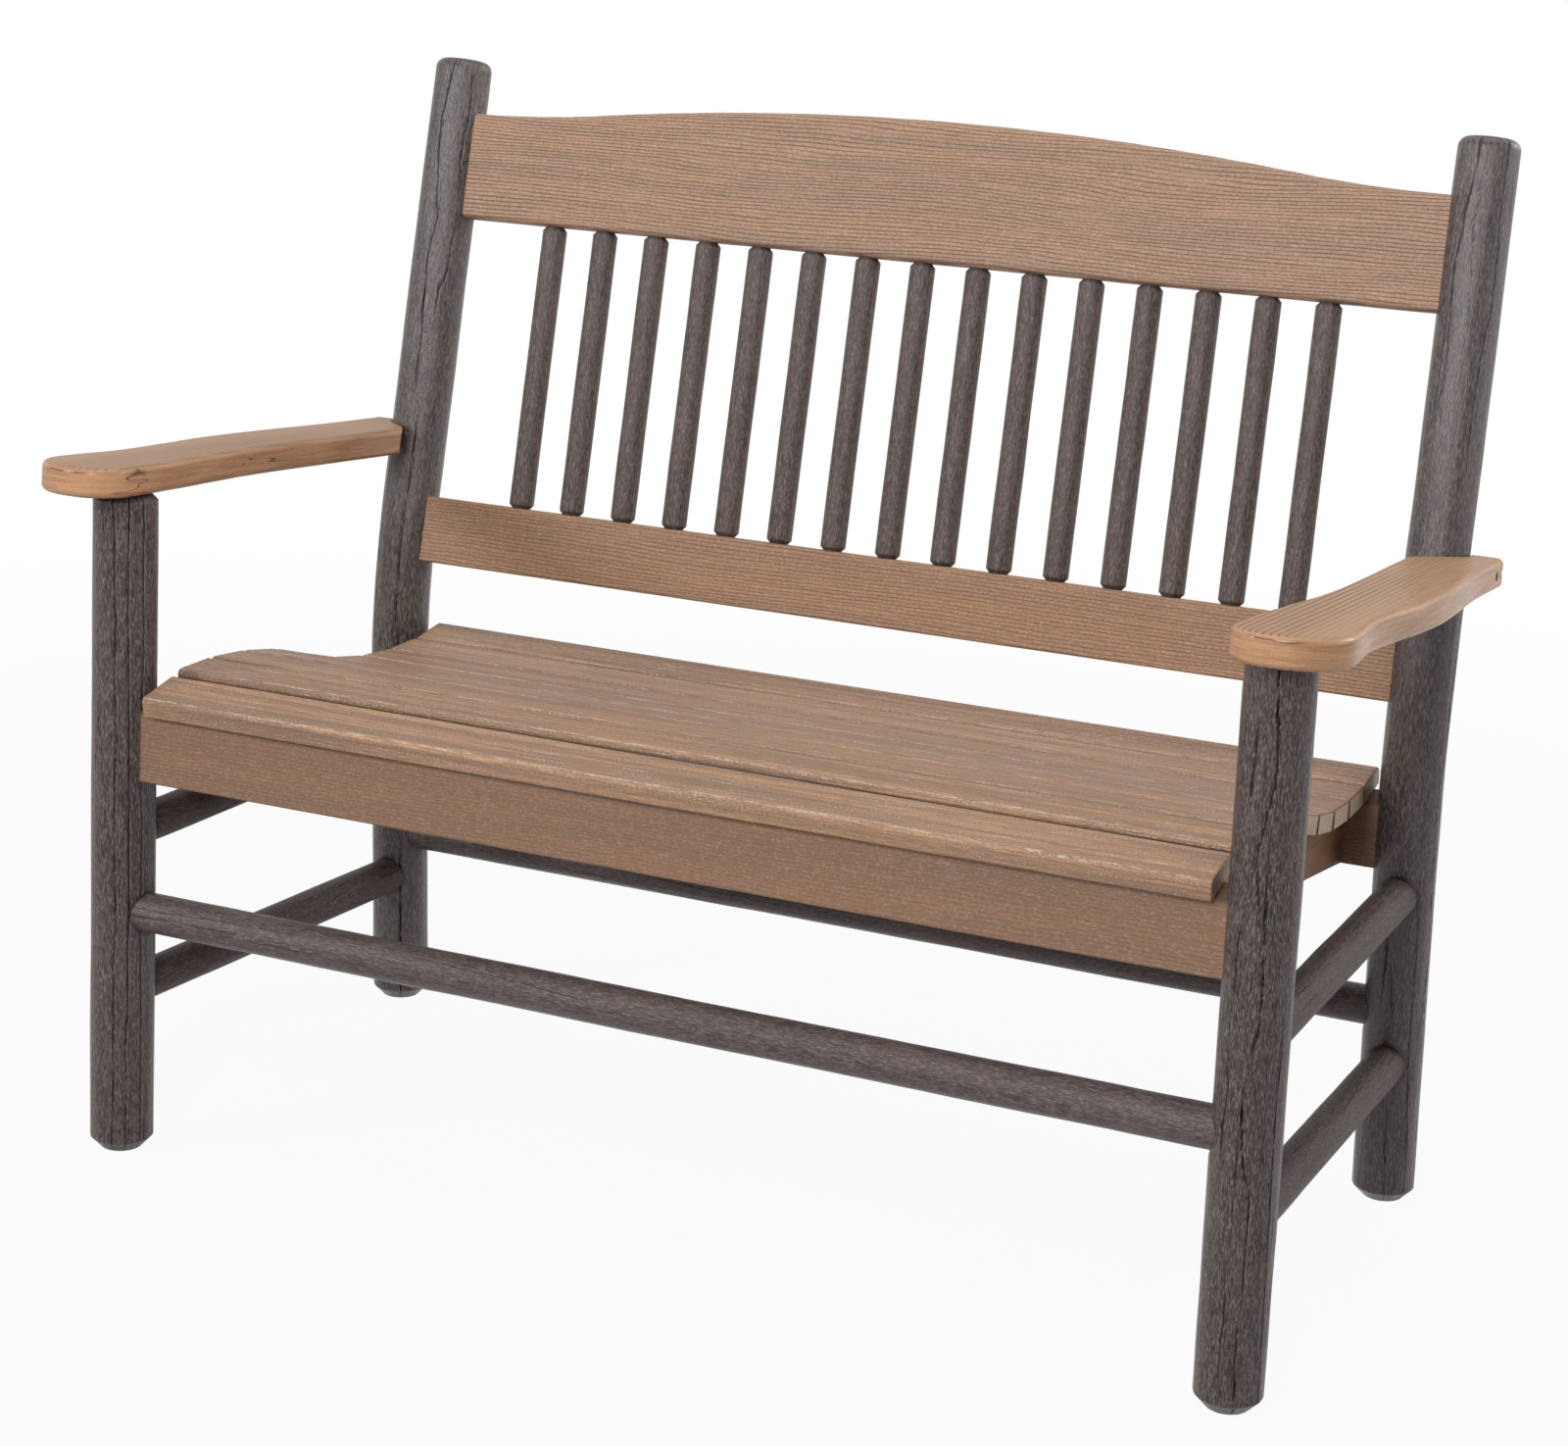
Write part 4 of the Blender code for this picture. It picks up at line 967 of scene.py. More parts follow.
def board_finish(name, colour, look):
    """Cedar-look board: warm and cool bands, thin dark grain lines, grit, pale broken flecks with a painted
    highlight on the top edges, dark joints with painted shade, a painted shade band on each slat.
    """
    painted_shade_tint, lines, streaks, flecks, bands, gloss = BOARD_FINISHES[name]
    colour = tinted(colour, *painted_shade_tint)
    paint = Finish(name)
    grain = paint.attribute("grain")
    edge, end, dark_joint_and_shade = paint.separate(paint.attribute("mark"))
    grit = paint.noise(grain, (0.50, 1.0, 1.0), 760.0, 2.0, 0.6)
    dash = paint.noise(grain, (0.09, 1.0, 1.0), 520.0, 3.0, 0.6)
    band = paint.noise(grain, (0.020, 1.0, 1.0), 120.0, 3.0, 0.6)
    patch = paint.noise(grain, (0.12, 1.0, 1.0), 24.0, 3.0, 0.55)
    breaks = paint.noise(grain, (0.08, 1.0, 1.0), 150.0, 2.0, 0.5)
    scratch = paint.noise(grain, (0.020, 1.0, 1.0), 620.0, 1.0, 0.4)
    valley = paint.attribute("figure", "Fac").ripple()
    line = paint.step(valley, 0.62, 0.98) * paint.step(breaks, 0.32, 0.56, 0.45, 1.0)
    level = sum(colour) / 3
    cool = tuple((1 - 0.36 * bands) * (0.85 * channel + 0.15 * level) for channel in colour)
    warm = tinted(colour, *(1 + lift * bands for lift in (0.24, 0.19, 0.10)))
    pale = tuple(0.28 + 0.68 * channel for channel in colour)
    # Painted shade from the negative band on the slats' tops
    shade = paint.step(edge, -1.0, 0.0, 0.55, 0.0) * paint.step(band, 0.36, 0.62, 1.0, 0.15)
    nicks_and_edge_highlight = paint.step(scratch, 0.58, 0.68) * paint.step(grit, 0.44, 0.64)
    # Pale broken flecks on the top rounded edges: wear, and a painted highlight along them
    edge_wear_and_highlight = paint.step(edge, 0.0, 1.0) * paint.step(dash, 0.42, 0.58)
    nicks_and_edge_highlight = nicks_and_edge_highlight + edge_wear_and_highlight * paint.step(grit, 0.36, 0.60, 0.4, 1.0)
    face = paint.step(end, -1.0, 0.0, 0.75, 0.0) * paint.step(grit, 0.25, 0.60, 0.6, 1.0)
    tone = paint.layer(
        cool,
        (paint.step(band, 0.30, 0.68), warm),
        (paint.step(patch, 0.35, 0.70, 0.0, 0.35), tinted(colour, 1.05)),
        (paint.step(dash, 0.34, 0.64, streaks, 0.0), tinted(look.line, 1.1)),
        (shade, tinted(look.line, 1.3)),
        (line * lines, look.line),
        (paint.step(grit, 0.30, 0.56, 0.42, 0.0), look.line),
        (paint.step(grit, 0.52, 0.74, 0.0, 0.34), pale),
        (paint.step(nicks_and_edge_highlight, 0.0, 1.0, 0.0, flecks), pale),
        # Dark joints with painted shade in the slats' gaps, and a painted shadow along the aprons' tops
        (dark_joint_and_shade * 0.92, tinted(look.line, 0.30)),
        (paint.step(end, 0.0, 1.0, 0.0, 0.80), END_EDGE),
        (face, END_FACE))
    rough = paint.step(dash, 0.30, 0.70, 0.42, 0.58) + line * 0.12
    height = (1 - line) * lines + dash * 0.4 + grit * 0.45 + nicks_and_edge_highlight * 0.2
    normal = paint.bump(height, 0.0007, 0.7)
    return paint.apply(
        Base_Color=tone, Roughness=rough, Normal=normal, IOR=1.46, Specular_IOR_Level=gloss)


def crest_lift(along, up):
    """Crest rail's arch: the top edge rises by a parabola that turns over into flat ends."""
    part = np.minimum(np.abs(along) / (POST_X - POST_RADIUS), 1.0)
    over = 1.0 - part ** 2 / CREST_ARCH_TURN
    under = (1.0 - part) ** 2 / (1.0 - CREST_ARCH_TURN)
    lift = CREST_ARCH * np.where(part < CREST_ARCH_TURN, over, under)
    margin = CREST_EDGE_ROUND
    return lift * np.clip((up - margin) / (CREST_END_HEIGHT - 2 * margin), 0.0, 1.0)


# Finish, rise up the back, height, edge rounding, outline step, seed, grain wave and lift of each rail
BACK_RAILS = {
    "crest_rail": (
        "cedar_rail", CREST_RISE, CREST_END_HEIGHT, CREST_EDGE_ROUND, 0.00085, 201, 1.0, crest_lift),
    "lower_back_rail": (
        "cedar_low_rail", LOWER_RAIL_RISE, LOWER_RAIL_HEIGHT, BOARD_EDGE_ROUND, 0.0009, 202, 0.7, None),
}


class BENCH_OT_back_rails(bpy.types.Operator):
    """Build the arched crest rail and the lower rail of the back"""
    bl_idname = "bench.back_rails"
    bl_label = "Back rails"

    def execute(self, context):
        look = context.scene.bench_boards
        half = BOARD_THICKNESS / 2
        for node, (name, climb, height, turn, step, seed, wave, lift) in BACK_RAILS.items():
            corners = [(-half, 0.0), (half, 0.0), (half, height), (-half, height)]
            finish = board_finish(name, look.rail, look)
            board_skin(
                node, finish, even(BOARD_HALF_LENGTH, BOARD_STEP),
                filleted(corners, (turn,) * 4, step, True),
                lambda across, up: back_point(climb + up, across), seed, look, wave, look.relief, lift)
        return {"FINISHED"}


class BENCH_OT_seat_frame(bpy.types.Operator):
    """Build the aprons and dress the bearers under the seat"""
    bl_idname = "bench.seat_frame"
    bl_label = "Seat frame"

    def execute(self, context):
        look = context.scene.bench_boards
        finish = board_finish("cedar_apron", look.rail, look)
        half = BOARD_THICKNESS / 2
        for (node, seed), tilt in zip(APRON_SEEDS.items(), (SLAT_TILTS[0], SLAT_TILTS[-1])):
            low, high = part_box(node)
            centre = middle(node).y
            front_top = high.z - math.tan(tilt) * BOARD_THICKNESS
            corners = [(-half, low.z), (half, low.z), (half, high.z), (-half, front_top)]
            radii = (BOARD_EDGE_ROUND, BOARD_EDGE_ROUND, 0.0, 0.0)
            board_skin(
                node, finish, even(BOARD_HALF_LENGTH, BOARD_STEP),
                filleted(corners, radii, APRON_OUTLINE_STEP, True),
                lambda across, up: (centre + across, up), seed, look, SEAT_WAVE, look.relief,
                # A painted shadow along the apron's top edge, under the seat
                dark_joint_and_shade=lambda line: APRON_SHADE * rise(
                    line[:, 1], *(high.z - below for below in APRON_SHADE_BAND)))
        dress(
            [f"seat_support_{label}" for label in ("left", "centre", "right")],
            bearer_finish("cedar_bearer", tinted(look.rail, *BEARER_SHADE_TINT), look))
        return {"FINISHED"}


def dress(nodes, finish):
    """Give CAD nodes a finish in all their material slots."""
    for node in nodes:
        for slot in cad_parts[node].material_slots:
            slot.material = finish


def bearer_finish(name, colour, look):
    """Plain sawn board: grain along Y with lines across the height, on the node's own coordinates."""
    paint = Finish(name)
    place = paint.place()
    warp = paint.noise(place, (1.0, 0.18, 1.0), 14.0, 2.0, 0.5)
    fine = paint.noise(place, (1.0, 0.06, 1.0), 400.0, 4.0, 0.6, (0.4, 0.0, 0.2))
    _, _, up = paint.separate(place)
    valley = (up * (1.0 / look.pitch) + warp * 6.0).ripple()
    tone = paint.layer(
        tinted(colour, 0.78),
        (paint.step(fine, 0.3, 0.7), tinted(colour, 1.1)),
        (paint.step(valley, 0.4, 1.0, 0.0, 0.45), look.line))
    rough = paint.step(fine, 0.3, 0.7, 0.48, 0.62)
    normal = paint.bump((1 - valley) * 0.8 + fine * 0.5, 0.0006, 0.6)
    return paint.apply(
        Base_Color=tone, Roughness=rough, Normal=normal, IOR=1.46, Specular_IOR_Level=0.16)


class BENCH_OT_seat_slats(bpy.types.Operator):
    """Build the ten slats of the contoured seat"""
    bl_idname = "bench.seat_slats"
    bl_label = "Seat slats"

    def execute(self, context):
        look = context.scene.bench_boards
        finish = board_finish("cedar_slat", look.seat, look)
        width = measured_slat_width()
        stations, inset, mark = slat_stations()
        last = len(SLAT_TILTS) - 1
        for number, tilt in enumerate(SLAT_TILTS):
            node = f"seat_slat_{number + 1:02d}"
            start = slat_start(node, tilt, width)
            front = SLAT_NOSE_ROUND if number <= 1 else SLAT_EDGE_ROUND
            rear = SLAT_TAIL_ROUND if number == last else SLAT_EDGE_ROUND
            low = SLAT_JOINT_OPEN if number > 0 else 0.0
            high = width - SLAT_JOINT_OPEN if number < last else width
            corners = [(low, 0.0), (high, 0.0), (high, SLAT_THICKNESS), (low, SLAT_THICKNESS)]
            radii = (SLAT_UNDER_ROUND, SLAT_UNDER_ROUND, rear, front)
            board_skin(
                node, finish, stations,
                filleted(corners, radii, SLAT_OUTLINE_STEP, True),
                lambda across, up: tipped(start, tilt, across, up), SLAT_SEED + number, look,
                SEAT_WAVE, look.relief * SLAT_RELIEF,
                dark_joint_and_shade=lambda line: slat_joint_shade(line, number, last),
                ends=(inset, mark * (FRONT_SLAT_END_SHADE if number == 0 else 1.0)))
        return {"FINISHED"}


def slat_stations():
    """Places along a slat, and each one's draw-in and end mark: face, quarter-circle edge, then the run."""
    turn = np.linspace(0.0, math.pi / 2, 6)
    away = np.concatenate([[0.0, 0.0], SLAT_END_EASE * (1 - np.cos(turn)), [0.0022, 0.0045]])
    inset = corner_cut(away, SLAT_END_EASE)
    inset[:2] = inset[:2] + (0.0004, 0.00005)
    mark = np.concatenate([[-1.0, -1.0], np.ones(len(turn)), [0.4, 0.0]])
    run = even(SLAT_HALF - away[-1], SLAT_STEP)[1:-1]
    stations = np.concatenate([away - SLAT_HALF, run, (SLAT_HALF - away)[::-1]])
    return stations, *(np.concatenate([part, 0.0 * run, part[::-1]]) for part in (inset, mark))


def slat_joint_shade(outline, number, last):
    """Darkness painted down a slat's long edges, the joints' own dark with painted shade in the gaps: 0 on
    top, rising to 1 down a side.

    It starts lower on the front of the second slat, whose nose stands proud.
    """
    deep = SLAT_THICKNESS - outline[:, 1]
    near_front = 1 - rise(outline[:, 0] - outline[:, 0].min(), 0.0002, 0.0020)
    near_rear = 1 - rise(outline[:, 0].max() - outline[:, 0], 0.0002, 0.0020)
    plain = rise(deep, 0.0009, 0.0036)
    front = rise(deep, 0.0050, 0.0075) if number == 1 else plain * (number > 0)
    return np.maximum(front * near_front, plain * (number < last) * near_rear)


def slat_start(node, tilt, width):
    """Y and Z of a slat's lower front corner, from its node's box and tilt."""
    low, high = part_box(node)
    if tilt > 0:
        return high.y - width * math.cos(tilt), low.z
    return low.y, low.z - width * math.sin(tilt)


def tipped(start, tilt, across, up):
    """Y and Z of points across and up a slat tipped about its lower front corner."""
    sine, cosine = math.sin(tilt), math.cos(tilt)
    return start[0] + across * cosine - up * sine, start[1] + across * sine + up * cosine


def measured_slat_width():
    """Width of a slat from the box of one that leans least, with its square lower edge."""
    tilt = float(SLAT_TILTS[8])
    rounded = (SLAT_THICKNESS - SLAT_EDGE_ROUND) * math.sin(tilt)
    low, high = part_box("seat_slat_09")
    return ((high.y - low.y) - rounded) / math.cos(tilt)


# Arms

ARM_CREASE = 48.0
ARM_REACH = rear_y_at(ARM_TOP_HEIGHT) - FRONT_Y
ARM_REAR_HEIGHT = ARM_TOP_HEIGHT - ARM_REACH * math.tan(ARM_TILT)
ARM_TAIL = rear_y_at(ARM_REAR_HEIGHT) - FRONT_Y + ARM_TAIL_OVERHANG
ARM_TAIL_REACH = 0.10
ARM_RIM_SHARE = 0.14
ARM_LEAST_WIDTH = 0.0005
ARM_SEED = 241

# Numbers of rows: each rounded rim, front corner, tail, body, flat of the sheet and height of the side
RIM_ROWS, FRONT_ROWS, TAIL_ROWS, BODY_ROWS, FLAT_ROWS, SIDE_ROWS = 14, 40, 130, 130, 60, 22

NOTCH_LEVEL = ARM_REAR_HEIGHT - ARM_THICKNESS / 2
NOTCH_WALL = POST_RADIUS + JOINT_FIT


def eased(keys, place):
    """Value at a place between keys, swinging from one to the next by half a cosine wave."""
    places, values = np.array(keys).T
    slot = np.clip(np.searchsorted(places, place) - 1, 0, len(keys) - 2)
    part = np.clip((place - places[slot]) / (places[slot + 1] - places[slot]), 0.0, 1.0)
    return values[slot] + (values[slot + 1] - values[slot]) * (1 - np.cos(math.pi * part)) / 2


def corner_cut(distance, radius):
    """How far a rounded corner draws an edge in, at a distance from the board's end."""
    inside = np.clip(radius - distance, 0.0, radius)
    return radius - np.sqrt(radius ** 2 - inside ** 2)


def arm_edges(place, depth):
    """Inner and outer edge of an arm, outward from the post's axis, at a place along it and a depth.

    The edges swing between set widths and the end corners are arcs. Where the rear post passes, the
    inner edge turns on a soft corner into a slanted cut, and then runs along a wall beside the post.
    """
    outer_keys = ((ARM_FRONT + ARM_OUTER_CORNER, ARM_FRONT_OUTER),) + ARM_OUTER_WIDTHS
    inner_keys = ((ARM_FRONT + ARM_INNER_CORNER, ARM_FRONT_INNER),) + ARM_INNER_WIDTHS
    outer = eased(outer_keys, place) - corner_cut(place - ARM_FRONT, ARM_OUTER_CORNER)
    outer = outer - corner_cut(ARM_TAIL - place, ARM_TAIL_CORNER)
    inner = -eased(inner_keys, place) + corner_cut(place - ARM_FRONT, ARM_INNER_CORNER)
    slant = arm_slant(place, depth)
    meet = np.maximum(NOTCH_SOFT - np.abs(inner - slant), 0.0)
    inner = np.maximum(inner, slant) + meet ** 2 / (4 * NOTCH_SOFT)
    return np.minimum(inner, NOTCH_WALL), outer


def arm_slant(place, depth):
    """Outward position of the slanted cut's face at a place along the arm, in line with the post's lean."""
    sine, cosine = math.sin(NOTCH_ANGLE), math.cos(NOTCH_ANGLE)
    face = POST_RADIUS * math.hypot(sine, cosine / math.cos(BACK_LEAN)) + JOINT_FIT
    corner = (NOTCH_WALL * sine - face) / cosine
    y = place * math.cos(ARM_TILT) + depth * math.sin(ARM_TILT)
    z = ARM_TOP_HEIGHT - place * math.sin(ARM_TILT) + depth * math.cos(ARM_TILT)
    behind = y - (rear_y_at(NOTCH_LEVEL) - FRONT_Y) - (z - NOTCH_LEVEL) * math.tan(BACK_LEAN)
    return NOTCH_WALL + (behind - corner) / math.tan(NOTCH_ANGLE)


def rim_gap(across, places, inner, outer, depth):
    """Distance in plan from each point of a sheet to the nearest rounded edge of the arm.

    A side edge's distance is the run across it times the cosine of its slope, an arc's is its radius
    less the distance to its centre, and an end's is the run along the arm.
    """
    along = places[:, None] + 0.0 * across
    inner_slope = np.gradient(inner, places)[:, None]
    outer_slope = np.gradient(outer, places)[:, None]
    gap = np.minimum(along - ARM_FRONT, ARM_TAIL - along)
    sharp = np.maximum(arm_slant(places, depth) - inner + NOTCH_SOFT / 2, 0.0)[:, None]
    gap = np.minimum(gap, (across - inner[:, None]) / np.sqrt(1 + inner_slope ** 2) + sharp)
    front_arc, tail_arc = ARM_FRONT + ARM_OUTER_CORNER, ARM_TAIL - ARM_TAIL_CORNER
    arcs = (
        (ARM_FRONT_OUTER - ARM_OUTER_CORNER, front_arc, ARM_OUTER_CORNER, 1, -1),
        (ARM_INNER_CORNER - ARM_FRONT_INNER, ARM_FRONT + ARM_INNER_CORNER, ARM_INNER_CORNER, -1, -1),
        (ARM_OUTER_WIDTHS[-1][1] - ARM_TAIL_CORNER, tail_arc, ARM_TAIL_CORNER, 1, 1),
    )
    beside = (outer[:, None] - across) / np.sqrt(1 + outer_slope ** 2)
    straight = (along > front_arc - 1e-9) & (along < tail_arc + 1e-9)
    gap = np.where(straight, np.minimum(gap, beside), gap)
    for middle_across, middle_along, radius, toward, end in arcs:
        within = ((across - middle_across) * toward > 0) & ((along - middle_along) * end > 0)
        arc = radius - np.hypot(across - middle_across, along - middle_along)
        gap = np.where(within, np.minimum(gap, arc), gap)
    return np.maximum(gap, 0.0)


def arm_grid():
    """Places of the sections along an arm and shares across it, both closer at the rounded rims."""
    turn = 1 - np.cos(np.linspace(0.0, math.pi / 2, RIM_ROWS))
    close = ARM_EDGE_ROUND * turn
    front = np.concatenate([close, np.linspace(ARM_EDGE_ROUND, ARM_OUTER_CORNER, FRONT_ROWS)[1:]])
    tail = np.concatenate([close, np.linspace(ARM_EDGE_ROUND, ARM_TAIL_REACH, TAIL_ROWS)[1:]])
    body = np.linspace(ARM_FRONT + ARM_OUTER_CORNER, ARM_TAIL - ARM_TAIL_REACH, BODY_ROWS)[1:-1]
    places = np.concatenate([ARM_FRONT + front, body, (ARM_TAIL - tail)[::-1]])
    rim = ARM_RIM_SHARE * turn[:-1]
    flat = np.linspace(ARM_RIM_SHARE, 1 - ARM_RIM_SHARE, FLAT_ROWS)
    return places, np.concatenate([rim, flat, 1 - rim[::-1]])


def around(top, bottom, drop):
    """Closed sections from a top and a bottom sheet: out over the top, down, back below and up."""
    outer = top[:, -1:] + (bottom[:, -1:] - top[:, -1:]) * drop
    inner = top[:, :1] + (bottom[:, :1] - top[:, :1]) * drop
    return np.concatenate([top, outer, bottom[:, ::-1], inner[:, ::-1]], axis=1)


def arm_skin(node, side, finish, look, seed):
    """Arm board: closed sections across, one after another along it.

    The top and bottom fall away on a quarter circle within the rounding's radius of the plan's
    outline, and grain ridges lie on both.
    """
    places, share = arm_grid()
    sheets, heights = [], []
    for level, sign in ((0.0, -1.0), (-ARM_THICKNESS, 1.0)):
        inner, outer = arm_edges(places, level)
        outer = np.maximum(outer - SKIN_INSET, inner + ARM_LEAST_WIDTH)
        sheet = inner[:, None] + (outer - inner)[:, None] * share[None]
        gap = rim_gap(sheet, places, inner, outer, level)
        gap[:, -1] = 0.0
        sheets.append(sheet)
        heights.append(level + sign * corner_cut(gap, ARM_EDGE_ROUND))
    drop = np.linspace(0.0, 1.0, SIDE_ROWS)[1:-1]
    across, depth = around(*sheets, drop), around(*heights, drop)
    along = np.broadcast_to(places[:, None], across.shape)
    across = across - screw_dimples(across, along, depth, len(share), len(drop))
    figure = grain_figure(seed, along, across, depth * 0.3, look.pitch * 1.6, 0.25)
    flat = 1 - rise(np.minimum(-depth, depth + ARM_THICKNESS), 0.0002, 0.0030)
    sink = look.relief * 0.7 * ripple(figure) * flat
    depth = depth - np.where(depth > -ARM_THICKNESS / 2, sink, -sink)
    cosine, sine = math.cos(ARM_TILT), math.sin(ARM_TILT)
    rings = points(
        side * (POST_X + across),
        FRONT_Y + (along + SKIN_INSET) * cosine + depth * sine,
        ARM_TOP_HEIGHT - along * sine + depth * cosine)
    width = (across - across.min()) / np.ptp(across)
    lined = flat * (1 - 0.85 * rise(width, 0.42, 0.80)) * (1 - 0.5 * rise(along, 0.20, 0.42))
    near = np.exp(-((along - 0.20) / 0.05) ** 2) + np.exp(-((along + 0.03) / 0.03) ** 2)
    zone = (1 - flat) * (1 - rise(width, 0.30, 0.45)) * rise(near, 0.35, 0.75)
    seam = rise(width, 0.15, 0.32) * (1 - rise(width, 0.55, 0.75))
    zone = np.where(along < ARM_FRONT + 0.012, -seam, zone)
    shift = seed % 10 * 1.7
    fields = {
        "grain": points(along + shift, across, depth),
        "wall": points(along + across + shift, depth, 0.0),
        "figure": figure,
        "mark": points(lined, 1 - flat, zone),
    }
    lay_skin(node, "board", rings, fields, finish, ARM_CREASE, flip=side < 0)


def screw_dimples(across, along, depth, first, count):
    """Inward depth of the two screw recesses on the outer face: a flat-bottomed round pit each."""
    pit = np.zeros_like(across)
    outer = slice(first, first + count)
    cosine, sine = math.cos(ARM_TILT), math.sin(ARM_TILT)
    for label in ("front", "rear"):
        head = middle(f"arm_screw_right_{label}")
        y, z = head.y - FRONT_Y, head.z - ARM_TOP_HEIGHT
        place, level = y * cosine - z * sine, y * sine + z * cosine
        gap = np.hypot(along[:, outer] - place, depth[:, outer] - level)
        outside = rise(gap, SCREW_HOLE_RADIUS - SCREW_HOLE_SOFT, SCREW_HOLE_RADIUS + SCREW_HOLE_SOFT)
        pit[:, outer] += SCREW_HOLE_DEPTH * (1 - outside)
    return pit


def arm_finish(name, colour, look):
    """Planed cedar-look arm: satin top, grain lines where it is lined, streaked orange sides, dark arcs."""
    paint = Finish(name)
    grain, wall = paint.attribute("grain"), paint.attribute("wall")
    lined, side, zone = paint.separate(paint.attribute("mark"))
    grit = paint.noise(grain, (0.40, 1.0, 1.0), 700.0, 2.0, 0.55)
    dash = paint.noise(grain, (0.05, 1.0, 1.0), 330.0, 3.0, 0.6)
    streak = paint.noise(wall, (0.05, 1.0, 1.0), 240.0, 3.0, 0.6)
    hair = paint.noise(wall, (0.03, 1.0, 1.0), 620.0, 2.0, 0.5)
    arc = paint.noise(wall, (0.10, 1.0, 1.0), 85.0, 1.0, 0.4)
    wave = paint.noise(wall, (1.0, 0.0, 0.0), 30.0, 1.0)
    valley = paint.attribute("figure", "Fac").ripple()
    line = paint.step(valley, 0.55, 0.97) * lined
    ink = paint.step((arc - 0.50).size(), 0.003, 0.012, 1.0, 0.0) * paint.step(zone, 0.0, 1.0)
    _, level, _ = paint.separate(wall)
    sag = level + 0.0045 + (wave - 0.5) * 0.006
    seam = paint.step(sag.size(), 0.0003, 0.0009, 1.0, 0.0) * paint.step(zone, -1.0, 0.0, 1.0, 0.0)
    ink = ink.larger(seam)
    orange = tinted(colour, 1.12, 1.00, 0.88)
    flank = paint.layer(
        tinted(orange, 0.80),
        (paint.step(streak, 0.34, 0.66), tinted(orange, 1.15)),
        (paint.step(hair, 0.34, 0.46, 0.42, 0.0), tinted(look.line, 1.2)))
    tone = paint.layer(
        colour,
        (paint.step(dash, 0.34, 0.62, 0.36, 0.0), tinted(look.line, 1.25)),
        (line * 0.75, look.line),
        (side, flank),
        (paint.step(grit, 0.32, 0.56, 0.22, 0.0), look.line),
        (ink * 0.80, tinted(look.line, 0.40)))
    rough = paint.step(dash, 0.30, 0.70, 0.36, 0.48) + line * 0.15
    height = (1 - line) * 0.7 + dash * 0.3 + grit * 0.15 - ink * 0.3
    normal = paint.bump(height, 0.0007, 0.6)
    return paint.apply(
        Base_Color=tone, Roughness=rough, Normal=normal, IOR=1.48, Specular_IOR_Level=0.10,
        Coat_Weight=side * 0.35, Coat_Roughness=0.16)


def screw_finish(name):
    """Coated screw steel: brushed tone and scuffs on the node's own coordinates."""
    paint = Finish(name)
    brush = paint.noise(paint.place(), (1.0, 1.0, 0.2), 2200.0, 3.0, 0.6)
    tone = paint.layer((0.05, 0.045, 0.04), (paint.step(brush, 0.3, 0.7), (0.16, 0.145, 0.13)))
    rough = paint.step(brush, 0.3, 0.7, 0.35, 0.6)
    normal = paint.bump(brush, 0.0002, 0.5)
    return paint.apply(Base_Color=tone, Roughness=rough, Normal=normal, Metallic=0.8)


class BENCH_OT_arms(bpy.types.Operator):
    """Build the paddle arms and dress their screws"""
    bl_idname = "bench.arms"
    bl_label = "Arms"

    def execute(self, context):
        look = context.scene.bench_boards
        finish = arm_finish("cedar_arm", look.arm, look)
        for number, (label, side) in enumerate(SIDES):
            arm_skin(f"arm_{label}", side, finish, look, ARM_SEED + number)
        screws = [f"arm_screw_{label}_{end}" for label, _ in SIDES for end in ("front", "rear")]
        dress(screws, screw_finish("coated_screw"))
        return {"FINISHED"}


# Stage

CAMERA_PLACE = (1.20981, -2.65487, 1.20257)
CAMERA_YAW = 0.39885
CAMERA_PITCH = -0.18472
CAMERA_ROLL = 0.05037
CAMERA_LENS = 73.546
CAMERA_SHIFT = (-0.06455, -0.14496)
FLOOR_RADIUS = 9.0
FLOOR_SIDES = 96
FLOOR_DROP = 0.0005
FLOOR_FADE = (1.3, 3.2)
FLOOR_GLOW = 0.94

# Place, target and size of each lamp, whose power is the setting of the same name
LAMPS = {
    "key": ((0.45, -2.45, 1.6), (0.0, 0.0, 0.55), (0.9, 1.1)),
    "sheen": ((-2.6, -2.8, 1.95), (0.0, 0.0, 0.8), (0.7, 0.7)),
    "side": ((5.2, 1.9, 1.8), (0.0, 0.0, 0.6), (2.4, 2.4)),
    "top": ((0.1, -0.2, 3.1), (0.0, 0.0, 0.5), (2.2, 2.2)),
    "back": ((3.2, 3.6, 2.6), (0.0, 0.0, 0.5), (2.4, 2.4)),
}


def floor_skin(name, finish):
    """Floor disc on a polar grid: rings of growing radius just under height 0."""
    angle = circle_angles(FLOOR_SIDES)
    radius = FLOOR_RADIUS * np.linspace(0.02, 1.0, 40)[:, None] ** 2
    rings = points(radius * np.cos(angle), radius * np.sin(angle), -FLOOR_DROP)
    index, quads = ring_faces(len(radius), FLOOR_SIDES)
    mesh = bpy.data.meshes.new(name)
    faces = quads[:, ::-1].tolist() + [index[0].tolist()]
    mesh.from_pydata(rings.reshape(-1, 3), [], faces)
    mesh.materials.append(finish)
    return add_object(name, mesh)


def seen_rays(paint):
    """1 for rays that the camera, a gloss or clear stuff sends out, else 0."""
    outputs = paint.node("ShaderNodeLightPath", {}, {}).socket.node.outputs
    camera, gloss, clear = (
        Value(paint, outputs[f"Is {kind} Ray"]) for kind in ("Camera", "Glossy", "Transmission"))
    return camera.larger(gloss.larger(clear))


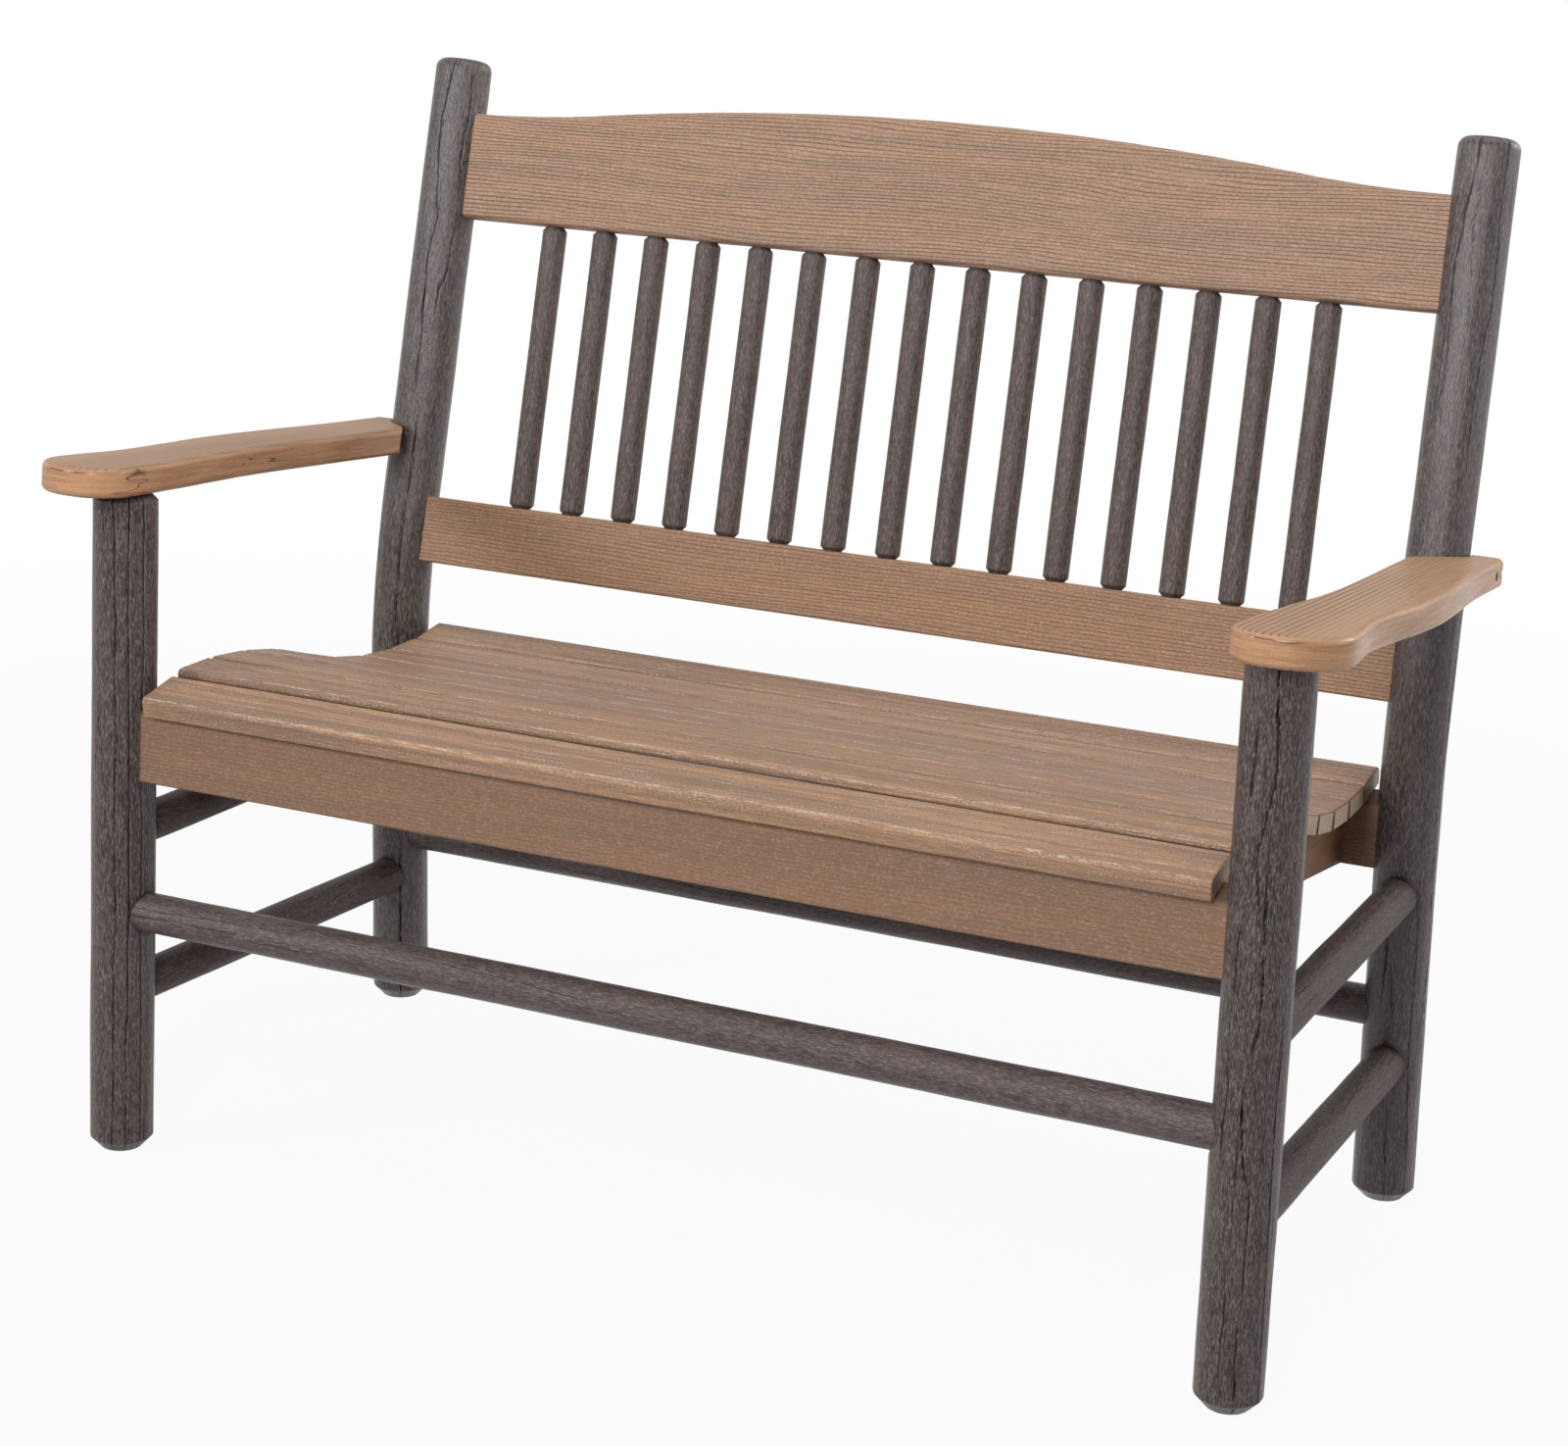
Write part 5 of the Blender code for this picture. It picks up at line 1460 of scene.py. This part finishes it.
def floor_finish(name, colour):
    """Pale floor that keeps the shadow near the bench and turns to plain white further out."""
    paint = Finish(name)
    place = paint.place()
    distance = paint.node("ShaderNodeVectorMath", {"operation": "LENGTH"}, {0: place}, "Value")
    grit = paint.noise(place, (1.0, 1.0, 1.0), 40.0, 3.0, 0.5)
    tone = paint.layer(tinted(colour, 0.98), (paint.step(grit, 0.3, 0.7), colour))
    paint.apply(Base_Color=tone, Roughness=0.9)
    white = paint.node("ShaderNodeEmission", {}, {"Color": WHITE, "Strength": 1.0})
    part = paint.step(distance, *FLOOR_FADE, FLOOR_GLOW, 1.0) * seen_rays(paint)
    body = Value(paint, paint.shader.outputs[0])
    mixed = paint.node("ShaderNodeMixShader", {}, {0: part, 1: body, 2: white})
    paint.feed(paint.tree.nodes["Material Output"].inputs["Surface"], mixed)
    return paint.owner


def set_world(look):
    """Even light from all round, white where it is seen."""
    paint = Finish("studio", world=True)
    strength = seen_rays(paint) * (1.0 - look.sky) + look.sky
    bpy.context.scene.world = paint.apply(Color=WHITE, Strength=strength)


def add_lamp(name, place, target, size, power):
    """Area lamp of this width and height that faces a target."""
    lamp = bpy.data.lights.new(name, "AREA")
    lamp.shape = "RECTANGLE"
    lamp.size, lamp.size_y = size
    lamp.energy = power
    back = unit(np.array(place) - np.array(target))
    side = unit(np.cross((0.0, 0.0, 1.0) if abs(back[2]) < 0.99 else (0.0, 1.0, 0.0), back))
    add_object(name, lamp).matrix_world = turned_to(side, np.cross(back, side), back, place)


def turned_to(right, up, back, place):
    """World matrix with these three axes at a place."""
    columns = np.array([right, up, back, place]).T.tolist()
    return Matrix(columns + [[0.0, 0.0, 0.0, 1.0]])


def add_camera():
    """Camera at the photograph's viewing angle: yaw, pitch and roll about its place."""
    data = bpy.data.cameras.new("photo_camera")
    data.sensor_fit = "HORIZONTAL"
    data.sensor_width = 36.0
    data.lens = CAMERA_LENS
    data.shift_x, data.shift_y = CAMERA_SHIFT
    level = math.cos(CAMERA_PITCH)
    ahead = np.array([
        -math.sin(CAMERA_YAW) * level, math.cos(CAMERA_YAW) * level, math.sin(CAMERA_PITCH)])
    flat = np.array([math.cos(CAMERA_YAW), math.sin(CAMERA_YAW), 0.0])
    over = np.cross(flat, ahead)
    cosine, sine = math.cos(CAMERA_ROLL), math.sin(CAMERA_ROLL)
    right = cosine * flat + sine * over
    up = cosine * over - sine * flat
    item = add_object("photo_camera", data)
    item.matrix_world = turned_to(right, up, -ahead, CAMERA_PLACE)
    bpy.context.scene.camera = item


class BENCH_OT_stage(bpy.types.Operator):
    """Set the floor, the soft light and the camera"""
    bl_idname = "bench.stage"
    bl_label = "Stage"

    def execute(self, context):
        look = context.scene.bench_stage
        add_camera()
        floor = floor_skin("studio_floor", floor_finish("pale_floor", look.floor))
        set_world(look)
        for key, (place, target, size) in LAMPS.items():
            add_lamp(f"{key}_lamp", place, target, size, getattr(look, key))
        context.scene.view_settings.view_transform = "Standard"
        return {"FINISHED"}


STEPS = (
    BENCH_OT_stage, BENCH_OT_posts, BENCH_OT_rungs, BENCH_OT_spindles, BENCH_OT_back_rails,
    BENCH_OT_seat_frame, BENCH_OT_seat_slats, BENCH_OT_arms,
)
SETTINGS = {"bench_logs": BenchLogLook, "bench_boards": BenchBoardLook, "bench_stage": BenchStageLook}


class BENCH_PT_looks(bpy.types.Panel):
    """Sidebar panel that lists the bench's pieces and settings"""
    bl_idname = "BENCH_PT_looks"
    bl_label = "Park bench"
    bl_space_type = "VIEW_3D"
    bl_region_type = "UI"
    bl_category = "Bench"

    def draw(self, context):
        for step in STEPS:
            self.layout.operator(step.bl_idname)
        for key in SETTINGS:
            group = getattr(context.scene, key)
            box = self.layout.box()
            for setting in group.__annotations__:
                box.prop(group, setting)


CLASSES = (*SETTINGS.values(), *STEPS, BENCH_PT_looks)


def register():
    """Register the settings, the operators and the panel."""
    for entry in CLASSES:
        bpy.utils.register_class(entry)
    for key, group in SETTINGS.items():
        setattr(bpy.types.Scene, key, PointerProperty(type=group))


def unregister():
    """Remove what register added."""
    for key in SETTINGS:
        delattr(bpy.types.Scene, key)
    for entry in reversed(CLASSES):
        bpy.utils.unregister_class(entry)


def main():
    """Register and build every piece."""
    register()
    for step in STEPS:
        group, name = step.bl_idname.split(".")
        getattr(getattr(bpy.ops, group), name)()


if __name__ == "__main__":
    main()
